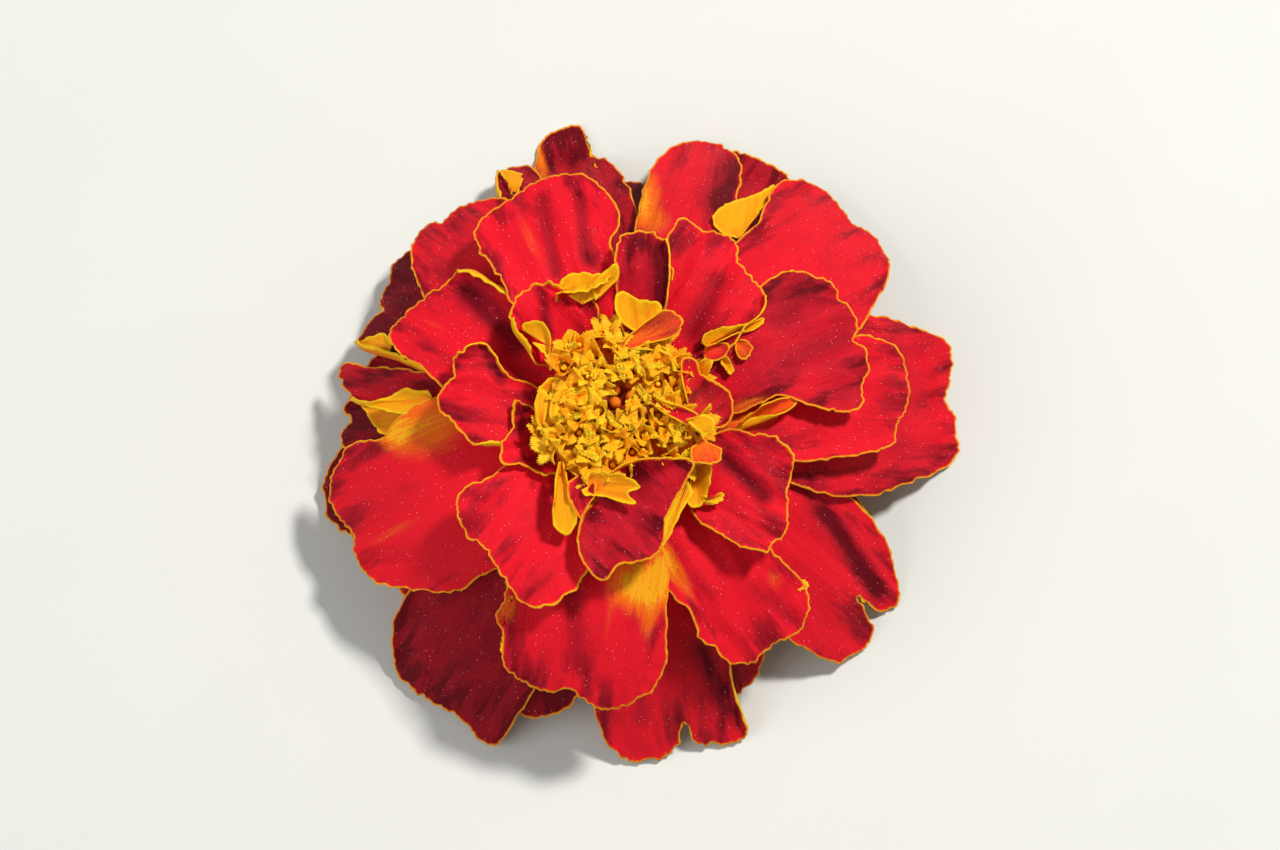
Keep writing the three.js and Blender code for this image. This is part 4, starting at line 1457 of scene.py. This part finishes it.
@dataclass(frozen=True)
class Flap:
    """A small blade or folded margin, spread from its root to a given rim."""

    root: Place
    rim: tuple[Place, ...]
    back: bool = False
    sag: float = 0.2
    # tone: the fold's own tone together with painted shade
    tone: float = 0.1
    glow: float = 0.0
    crimp: float = 0.16

    def clockwise(self) -> list[Place]:
        """Turns the rim round where it has to be.

        Returns:
            The rim, clockwise as seen from above.
        """
        area = sum(a[0] * b[1] - b[0] * a[1] for a, b in zip(self.rim, self.rim[1:]))
        first, last, root = self.rim[0], self.rim[-1], self.root
        area += last[0] * root[1] - root[0] * last[1] + root[0] * first[1] - first[0] * root[1]
        return list(self.rim) if area < 0 else list(self.rim[::-1])

    def add(self, body: Body, seed: float) -> None:
        """Adds the blade.

        Args:
            body: the mesh.
            seed: a number that sets its own ruffles.
        """
        root = Vector(self.root)
        count = max(24, round(sum((Vector(b) - Vector(a)).length
                                  for a, b in zip(self.rim, self.rim[1:])) / FOLD_STEP))
        rim = [Vector(point) for point in even_curve(self.clockwise(), count)]
        sides = [root.lerp(end, k / FOLD_ROWS) for end in (rim[0], rim[-1])
                 for k in range(3, FOLD_ROWS)]
        tree = kdtree.KDTree(len(rim) + len(sides))
        for i, point in enumerate(rim + sides):
            tree.insert(point, i)
        tree.balance()
        middle = sum(rim, Vector()) / len(rim) - root
        along = Vector((middle.x, middle.y, 0.0)).normalized()
        across = Vector((-along.y, along.x, 0.0))

        def bend(share: float, row: float) -> tuple:
            """Bends one point.

            Args:
                share: from 0 at one end of the rim to 1 at the other.
                row: from 0 at the root to 1 at the rim.

            Returns:
                The point and its attributes.
            """
            step = 1 - (1 - row) ** FOLD_CROWDING
            number = round(share * count)
            point = root.lerp(rim[number], step)
            edge = tree.find(point)[2]
            gone = point - root
            close = math.exp(-edge / FOLD_CRIMP_REACH) * smooth_step(*CURL_START, step)
            far = number * FOLD_STEP
            point += (rim[number] - root).normalized() * (
                self.crimp * close * waves(far, seed, FOLD_CRIMPS))
            point.z -= self.sag * math.sin(math.pi * step)
            point.z += 0.3 * noise.noise((point.x * 0.6, point.y * 0.6, seed)) * step
            point.z += 0.14 * close * noise.noise((far * 1.1, seed, 8.0))
            point.z += 0.16 * step * noise.noise((point.x * 1.5, point.y * 1.5, seed + 3))
            shade = ROOT_SHADE * (1 - smooth_step(0.0, SHADE_END, step)) if self.back else 0.0
            values = {"edge": edge, "tone": self.tone + shade,
                      "glow": self.glow * (1.3 - 0.6 * step),
                      "under": float(self.back),
                      "flat": Vector((gone.dot(across), gone.dot(along), seed))}
            return point, values

        body.sheet((count, FOLD_ROWS), bend, petal_depth(body, *FOLD_DEPTHS),
                   {"under": float(not self.back)})


FLAPS = (
    # the scoop-shaped petal over the front of the disc
    Flap((-1.3, -6.3, 19.5), ((-1.8, -6.7, 19.6), (-0.7, -5.3, 20.4), (0.8, -4.5, 20.9),
          (3.2, -4.3, 21.2), (5.6, -4.6, 21.1), (5.1, -5.8, 20.6), (4.2, -7.3, 20.1),
          (3.4, -9, 19.9), (3.3, -10.4, 19.7), (2.6, -11.6, 19.5), (1.4, -12.1, 19.5),
          (-0.3, -12.4, 19.4), (-1.2, -13.5, 19.2), (-2, -13.3, 19.2), (-3, -12, 19.1),
          (-3.4, -10.7, 19.1), (-3.3, -9.5, 19.1), (-2.9, -8.1, 19.2)), sag=0.5, tone=0.45),
    # folds at its right
    Flap((5.3, -3.4, 17.8), ((5.4, -4.1, 18.9), (5.4, -5.3, 18.9), (5.4, -6.2, 18.5),
          (5.1, -6.9, 18), (5.3, -7.5, 17.7), (6.1, -7.4, 17.6), (6.6, -6.6, 18), (6.9, -5.3, 18.6),
          (7, -4.3, 18.8)), back=True),
    Flap((6.2, -2.5, 19.8), ((5.4, -3.3, 20.4), (5.5, -4.4, 20.5), (6.5, -4.6, 20.5),
          (7.6, -4.3, 20.4), (7.8, -3.3, 20.2)), tone=0.3, glow=0.4),
    Flap((5.1, -5.8, 20.1), ((4.8, -6.4, 20.3), (4.1, -7.6, 20), (3.4, -9.1, 19.8),
          (3.3, -10.3, 19.6), (3.1, -11, 19.5), (3.6, -10.3, 19.3), (4.2, -9, 19.3),
          (4.9, -7.7, 19.4), (5.6, -6.7, 19.6)), back=True, tone=0.3),
    Flap((6.2, -6.9, 17.6), ((6.5, -6.6, 18.1), (7.1, -6.8, 18.2), (7.8, -6.5, 18.1),
          (8, -6.8, 17.9), (7.3, -7.3, 17.8), (6.6, -7.3, 17.6)), back=True, sag=-0.2, crimp=0.3),
    # a ragged yellow one at the front
    Flap((-2.6, -6.2, 19.7), ((-3.1, -5.7, 20.1), (-2.4, -5.3, 20.5), (-0.9, -5.3, 20.8),
          (0, -5.5, 20.9), (1, -6.1, 20.8), (1.5, -6.5, 20.7), (0.6, -6.8, 20.6), (1, -7.7, 20.4),
          (0, -7.5, 20.3), (-1.3, -7.1, 20.1), (-2.6, -6.9, 19.9), (-3.1, -6.5, 19.8)), back=True,
          tone=0.5, crimp=0.4),
    Flap((-3.2, -5.2, 19.7), ((-4.2, -5.9, 19.8), (-4.1, -7, 19.7), (-3.6, -8, 19.4),
          (-3.2, -8.7, 19.3), (-2.6, -7.8, 19.5), (-2.1, -7.1, 19.7), (-2, -6, 19.9))),
    # a yellow back at the top of the disc
    Flap((1.4, 5.9, 19.3), ((0, 6.7, 19.9), (-0.5, 7.8, 20.1), (-0.4, 8.8, 20.2), (0.2, 9.1, 20.3),
          (1, 8.6, 20.4), (1.8, 8.3, 20.4), (3, 8.2, 20.4), (3.1, 7.9, 20.3), (2.7, 6.9, 20),
          (2.3, 6.2, 19.7)), back=True),
    Flap((-3.1, 8.5, 18.3), ((-5, 9.7, 18.9), (-4.6, 10.3, 19.1), (-4, 10.8, 19.3),
          (-3.1, 10.9, 19.4), (-2.3, 10.6, 19.4), (-1.7, 10.8, 19.4), (-1.6, 9.9, 19.2),
          (-2.1, 9, 18.8)), back=True),
    Flap((-2.1, 8.7, 18.8), ((-2.3, 9.5, 19.2), (-1.9, 10.3, 19.6), (-1.2, 10.9, 19.8),
          (-0.4, 11.3, 20), (-0.2, 10.6, 19.8), (-1, 9.7, 19.5), (-1.8, 9, 19.1)), back=True,
          glow=0.2),
    Flap((-5.7, 5.1, 18.8), ((-7.8, 6.3, 19), (-7.8, 6.7, 19.2), (-7.3, 6.9, 19.4),
          (-6.4, 6.8, 19.6), (-5.8, 6.2, 19.6), (-5.6, 5.2, 19.4), (-5.8, 4.1, 19),
          (-6.2, 4.6, 18.9), (-7, 5.4, 18.9)), back=True),
    # a margin folded over at the upper right
    Flap((9.4, 15.9, 10.2), ((8.2, 16.1, 10.6), (7.4, 17, 10.4), (7.4, 17.9, 10.1),
          (7.9, 18.6, 9.6), (9, 19.4, 8.6), (10.3, 20.1, 7.5), (11.4, 20.8, 6.4), (12.6, 21.8, 5),
          (12.5, 21.1, 5.2), (11.4, 19.2, 7.2), (10.3, 17.3, 9.5)), back=True, sag=0),
    # folds at the left
    Flap((-15.1, 2.1, 13.3), ((-15.5, 2.7, 13.1), (-16.5, 2.8, 12.4), (-17.5, 3.1, 11.8),
          (-18.1, 2.9, 11.3), (-18.8, 2.7, 10.8), (-20.2, 2.4, 9.8), (-20.8, 2.3, 9.2),
          (-19, 1.5, 10.8), (-17.4, 1, 12), (-16.9, 1.1, 12.3), (-15.7, 1.6, 13)), back=True),
    Flap((-16.7, 1.7, 11.3), ((-18.2, 2.2, 10.2), (-19.6, 2.5, 9), (-21.2, 2.7, 7.5),
          (-20.8, 1.9, 8), (-20.1, 0.7, 8.7), (-19.2, -0.2, 9.5), (-18.2, 0.3, 10.3),
          (-17.2, 1, 11)), back=True, tone=0.6),
    Flap((-18.8, 7.2, 8), ((-19.1, 7, 7.8), (-20.7, 7.8, 6), (-21.9, 8.4, 4.6), (-21.3, 8.6, 5.2),
          (-20.6, 8.7, 5.8), (-19.7, 8.8, 6.6), (-19.1, 8.1, 7.4), (-18.8, 7.4, 7.9)), back=True,
          tone=0.3),
    # a folded tip at the upper left
    Flap((-9, 20.4, 5.9), ((-9.3, 21.1, 5.7), (-9.7, 22.1, 4.8), (-10.2, 23.4, 3.5),
          (-9.6, 23.4, 3.7), (-8.9, 23.2, 3.9), (-8.2, 22.9, 4.1), (-8.4, 21.9, 5),
          (-8.6, 21, 6.1)), back=True, tone=0.4, sag=-0.3, crimp=0.1),
    # a lens-shaped fold at the right
    Flap((8.9, -1, 15.1), ((9.4, -0.5, 15.9), (10.2, 0.2, 16.3), (11, 0.6, 17), (11.8, 1, 16.8),
          (12.9, 1.4, 16.5), (13.8, 1.3, 16.2), (13.4, 0.7, 16.4), (12.7, 0.2, 16.8),
          (11.9, 0, 16.9), (11, 0, 16.3), (10.1, -0.1, 15.9), (9.4, -0.7, 15.7)), glow=0.4, sag=0),
    # curls at the upper right
    Flap((6.6, 5.5, 16.6), ((6.3, 5.6, 17.4), (6.5, 6.2, 17.6), (6.9, 6.5, 17.6), (7.9, 6.8, 17.6),
          (9.3, 7, 17.7), (10.5, 7.4, 17.1), (11.3, 7.8, 16.6), (10.7, 7, 16.8), (9.3, 6.6, 17.2),
          (8.1, 6, 17.6), (7.3, 5.6, 17.4)), back=True, sag=0),
    Flap((6.4, 4.9, 16.5), ((6.6, 5.3, 17.2), (7.4, 5.6, 17.3), (8.2, 5.7, 17.1), (8.5, 5.4, 17.1),
          (8.3, 4.8, 17.1), (7.7, 4.4, 17.1), (7, 4.2, 17.4), (6.6, 4.3, 17.3)), glow=0.18, sag=0),
    Flap((9, 5.9, 16.4), ((9.3, 6, 17), (9.9, 5.9, 17), (10.3, 5.2, 16.9), (9.8, 4.5, 16.8),
          (9.3, 4.5, 16.9), (9, 5.2, 17)), glow=0.28, sag=0),
    Flap((7.8, 4.6, 16.4), ((8.2, 4.6, 17), (8.5, 4.2, 16.9), (8.8, 3.5, 16.8), (8.5, 3.2, 16.8),
          (8.2, 3.7, 16.9), (7.8, 4.1, 16.9)), back=True, sag=0),
    # knobs
    Flap((8.2, -1.4, 15.1), ((8.5, -1.2, 15.7), (8.9, -1.5, 15.7), (8.7, -2.2, 15.6),
          (8.3, -2.2, 15.6), (8, -1.9, 15.7)), back=True, sag=-0.3),
    Flap((13.7, -13, 11.1), ((13.9, -12.5, 11.5), (14.3, -12.3, 11.5), (14.7, -12.5, 11.3),
          (14.7, -13, 11.1), (14.2, -13.2, 11)), back=True, sag=-0.3),
    Flap((3.5, 10.7, 16.6), ((3, 10.9, 17.2), (2.6, 11.4, 17.4), (3, 12.1, 17.3), (3.6, 12.2, 17.1),
          (4, 11.5, 17.2), (3.9, 10.7, 17.2)), back=True, sag=0.2),
    # a lens, a rolled tube and an orange back at the left of the disc
    Flap((-6.3, -1.6, 19.1), ((-6.7, -1, 19.4), (-6.8, 0.3, 19.7), (-6.5, 1.2, 19.7),
          (-6.1, 1.5, 19.7), (-5.7, 0.7, 19.7), (-5.8, -0.5, 19.5), (-6.1, -1.5, 19.2)), back=True,
          sag=-0.4),
    Flap((-4, 1.4, 19.8), ((-4.6, 1.6, 20.2), (-5.3, 0.8, 20.3), (-5.6, -0.2, 20.2), (-5.5, -1, 20),
          (-5.1, -1.1, 19.9), (-5, -0.2, 20), (-4.6, 0.5, 20.1), (-4, 0.8, 20)), back=True,
          sag=-0.3),
    Flap((-3.9, 1.3, 19.4), ((-4.3, 1.7, 19.8), (-5.1, 2.3, 19.8), (-5.8, 2.3, 19.6),
          (-6.3, 1.8, 19.4), (-6.5, 1.3, 19.2), (-5.6, 1.3, 19.3), (-4.8, 1, 19.4)), back=True,
          tone=0.9),
    # the red tongue over the back of the disc
    Flap((-0.1, 4.8, 20.1), ((0, 5, 20.3), (1, 5.8, 20.7), (2.3, 6.8, 21), (3.6, 7.5, 21.1),
          (4.5, 7, 21), (4.7, 6.1, 20.9), (3.9, 5.4, 20.7), (3.1, 5.2, 20.6), (1.9, 4.9, 20.5),
          (0.8, 4.5, 20.3)), tone=0, glow=0.3, sag=0.3, crimp=0.3),
    # the rolled one at the right
    Flap((2, 0.6, 20.7), ((2.2, 0.7, 20.9), (3.4, 0.1, 21.2), (4.9, -0.4, 21.3), (5.9, -1, 21.2),
          (5.4, -1.6, 21.1), (3.9, -1, 21.1), (2.6, -0.1, 21)), tone=0.3, sag=0.3),
    Flap((5.1, -1.4, 21.1), ((5, -1.3, 21.3), (5.8, -1.1, 21.5), (6.5, -0.9, 21.5),
          (7.2, -1.4, 21.4), (7.2, -2.1, 21.3), (6.5, -2.5, 21.2), (5.7, -2.1, 21.1)), back=True,
          sag=-0.2),
    Flap((5.4, -0.6, 19.6), ((5.2, 0.2, 20.2), (4.7, 2.5, 20.7), (4.8, 3.7, 20.8), (5.7, 3.6, 20.7),
          (6.1, 2.6, 20.4), (7.2, 2, 19.8), (8.4, 1.3, 19.2), (8.7, 0.2, 18.9), (8.3, -1.1, 18.8),
          (7.2, -1.5, 19), (6.4, -1.3, 19.4)), tone=0.3, glow=0.13, sag=0.5),
    # a strap that hangs over the lower left
    Flap((-4.7, -4.1, 18.9), ((-5, -4.6, 19.4), (-5.2, -5.7, 19.7), (-5.2, -7.3, 19.6),
          (-5.3, -8.5, 19.2), (-5.1, -9.4, 18.8), (-4.4, -9.9, 18.6), (-3.8, -9.6, 18.7),
          (-3.5, -8.8, 19), (-3.8, -7.8, 19.3), (-4.1, -6.4, 19.6), (-4.3, -5, 19.4)), back=True,
          sag=-0.3),
)


@dataclass
class Whorl:
    """Some ray florets, or some folds, as one piece."""

    name: str
    blades: tuple[Petal, ...] | tuple[Flap, ...]
    seed: float
    seed_step: float = 7.3

    def build(self, finish: bpy.types.Material) -> bpy.types.Object:
        """Builds and dresses the whorl.

        Args:
            finish: the petals' material.

        Returns:
            The piece.
        """
        body = petal_body()
        for number, blade in enumerate(self.blades):
            blade.add(body, self.seed + self.seed_step * number)
        return dress(body.finish(self.name), finish, "red_petal", "ray_florets")


# The cup.


@dataclass
class Involucre:
    """The green cup of fused bracts, on its cut stalk.

    Its ribs start and end, and its teeth start, over ranges of height.
    """

    stalk: float = 1.6
    stalk_height: float = 1.8
    rim_height: float = 12.4
    radius: float = 6.6
    wall: float = 0.6
    floor: float = 4.2
    teeth: int = 8
    tooth: float = 0.75
    tooth_start: Point = (12.1, 12.4)
    rib: float = 0.30
    rib_start: Point = (1.5, 5.0)
    rib_end: Point = (12.2, 12.6)
    stalk_rib: float = 0.05
    uneven: float = 0.10
    steps: int = 36
    tooth_sides: int = 24

    def profile(self) -> list[Point]:
        """Draws the cup's section.

        Returns:
            Its radius and height, from the middle of the cut to the middle of the floor.
        """
        r, inside = self.radius, self.radius - self.wall
        outer = [(self.stalk, 0.0), (self.stalk, 0.5), (self.stalk * 0.94, 1.1),
                 (self.stalk * 1.25, self.stalk_height), (r * 0.44, 2.7), (r * 0.66, 4.2),
                 (r * 0.84, 6.4), (r * 0.95, 9.0), (r, 11.0), (r, self.rim_height)]
        inner = [(inside + 0.1, self.rim_height), (inside, 11.0), (inside * 0.94, 9.0),
                 (inside * 0.8, 6.4), (inside * 0.62, self.floor + 0.5)]
        return [(0.0, 0.0), *even_curve(outer, self.steps), *inner,
                (inside * 0.4, self.floor), (0.0, self.floor)]

    def build(self, finish: bpy.types.Material) -> bpy.types.Object:
        """Builds and dresses the cup.

        Args:
            finish: the cup's material.

        Returns:
            The piece.
        """
        section = self.profile()
        rows = len(section) - 1
        body = Body(("rib", "rise"), ("skin",))

        def bend(share: float, row: float) -> tuple:
            """Bends one point.

            Args:
                share: its share of the turn.
                row: its share of the section.

            Returns:
                The point and its attributes.
            """
            turn, number = share * TURN, round(row * rows)
            radius, z = section[number]
            ridge = abs(math.cos(turn * self.teeth / 2)) ** 1.6
            if 0 < number <= self.steps + 1:
                deep = smooth_step(*self.rib_start, z)
                fine = self.uneven * noise.noise(polar(4, turn, z * 0.3))
                fade = 1 - smooth_step(*self.rib_end, z)
                radius -= deep * (self.rib * (1 - ridge) + fine) * fade
                radius -= self.stalk_rib * (1 - deep) * (1 - abs(math.cos(turn * 4)))
            rise = z / self.rim_height
            z += self.tooth * ridge ** 2.2 * smooth_step(*self.tooth_start, z)
            values = {"rib": ridge, "rise": rise + (z / self.rim_height - rise) * 0.8,
                      "skin": Vector((turn * self.radius, z, 0.0))}
            return polar(radius, turn, z), values

        body.grid((self.teeth * self.tooth_sides, rows), bend)
        return dress(body.finish("green_cup"), finish, "green_cup", "involucre")


# The studio.


def aimed(name: str, data: bpy.types.ID, place: Vector, aim: Vector) -> bpy.types.Object:
    """Adds a light or a camera to the scene.

    Args:
        name: its name.
        data: its settings.
        place: where it stands, in metres.
        aim: the direction in which it looks.

    Returns:
        Its object.
    """
    made = bpy.data.objects.new(name, data)
    made.location = place
    made.rotation_mode = "QUATERNION"
    made.rotation_quaternion = aim.to_track_quat("-Z", "Y")
    bpy.context.scene.collection.objects.link(made)
    return made


@dataclass(frozen=True)
class Lamp:
    """A soft square light that faces the flower, in metres and watts."""

    name: str
    place: Place
    size: float
    power: float
    colour: Colour = (1.0, 1.0, 1.0)
    faced: Place = (0.0, 0.0, 0.012)

    def build(self) -> None:
        """Adds the light."""
        lamp = bpy.data.lights.new(self.name, "AREA")
        lamp.size = self.size
        lamp.energy = self.power
        lamp.color = self.colour
        place = Vector(self.place)
        aimed(self.name, lamp, place, Vector(self.faced) - place)


@dataclass
class Studio:
    """A pale floor, soft lights and the camera."""

    lamps: tuple[Lamp, ...] = (Lamp("key", (0.24, 0.20, 0.49), 0.07, 3.15, (1.0, 0.97, 0.93)),
                               Lamp("fill", (-0.42, -0.16, 0.40), 0.5, 1.6))
    sky: float = 0.22
    floor_width: float = 6000.0
    elevation: float = 79.0
    distance: float = 0.291
    lens: float = 100.0
    target: Place = (1.42, 1.45, 5.0)

    def floor(self) -> None:
        """Adds the floor."""
        body = Body(())
        body.grid((2, 2), lambda x, y: (Vector((x - 0.5, y - 0.5, 0.0)) * self.floor_width, {}))
        piece = body.finish("floor")
        piece.data.materials.append(PaleFloor().material())

    def camera(self) -> None:
        """Adds the camera at the photograph's angle."""
        data = bpy.data.cameras.new("camera")
        data.lens = self.lens
        data.sensor_width = 36.0
        data.clip_start = 0.01
        angle = math.radians(self.elevation)
        ahead = Vector((0.0, math.cos(angle), -math.sin(angle)))
        place = Vector(self.target) * MM + AXIS - ahead * self.distance
        bpy.context.scene.camera = aimed("camera", data, place, ahead)

    def build(self) -> None:
        """Builds the studio."""
        self.floor()
        for lamp in self.lamps:
            lamp.build()
        world = bpy.data.worlds.new("studio")
        world.use_nodes = True
        sky = world.node_tree.nodes["Background"]
        sky.inputs["Color"].default_value = (1, 1, 1, 1)
        sky.inputs["Strength"].default_value = self.sky
        bpy.context.scene.world = world
        bpy.context.scene.view_settings.view_transform = "Standard"
        self.camera()


def main() -> None:
    """Builds every piece in order and notes the model's size."""
    logging.basicConfig(level=logging.INFO, format="%(message)s")
    petal = VelvetPetal().material()
    floret = HairyFloret().material()
    parts = (
        (Involucre(), WaxyCup().material()),
        (Claws(), petal),
        (Whorl("petals_under", UnderWhorl().petals(), 11.0), petal),
        (Whorl("petals_outer", OUTER, 101.0), petal),
        (Whorl("petals_middle", MIDDLE, 211.0), petal),
        (Whorl("petals_inner", INNER, 307.0), petal),
        (Disc(), floret),
        (Whorl("petal_folds", FLAPS, 301.0, 5.7), petal),
    )
    for part, finish in parts:
        piece = part.build(finish)
        LOG.info("%s: %d faces", piece.name, len(piece.data.polygons))
    Studio().build()


if __name__ == "__main__":
    main()
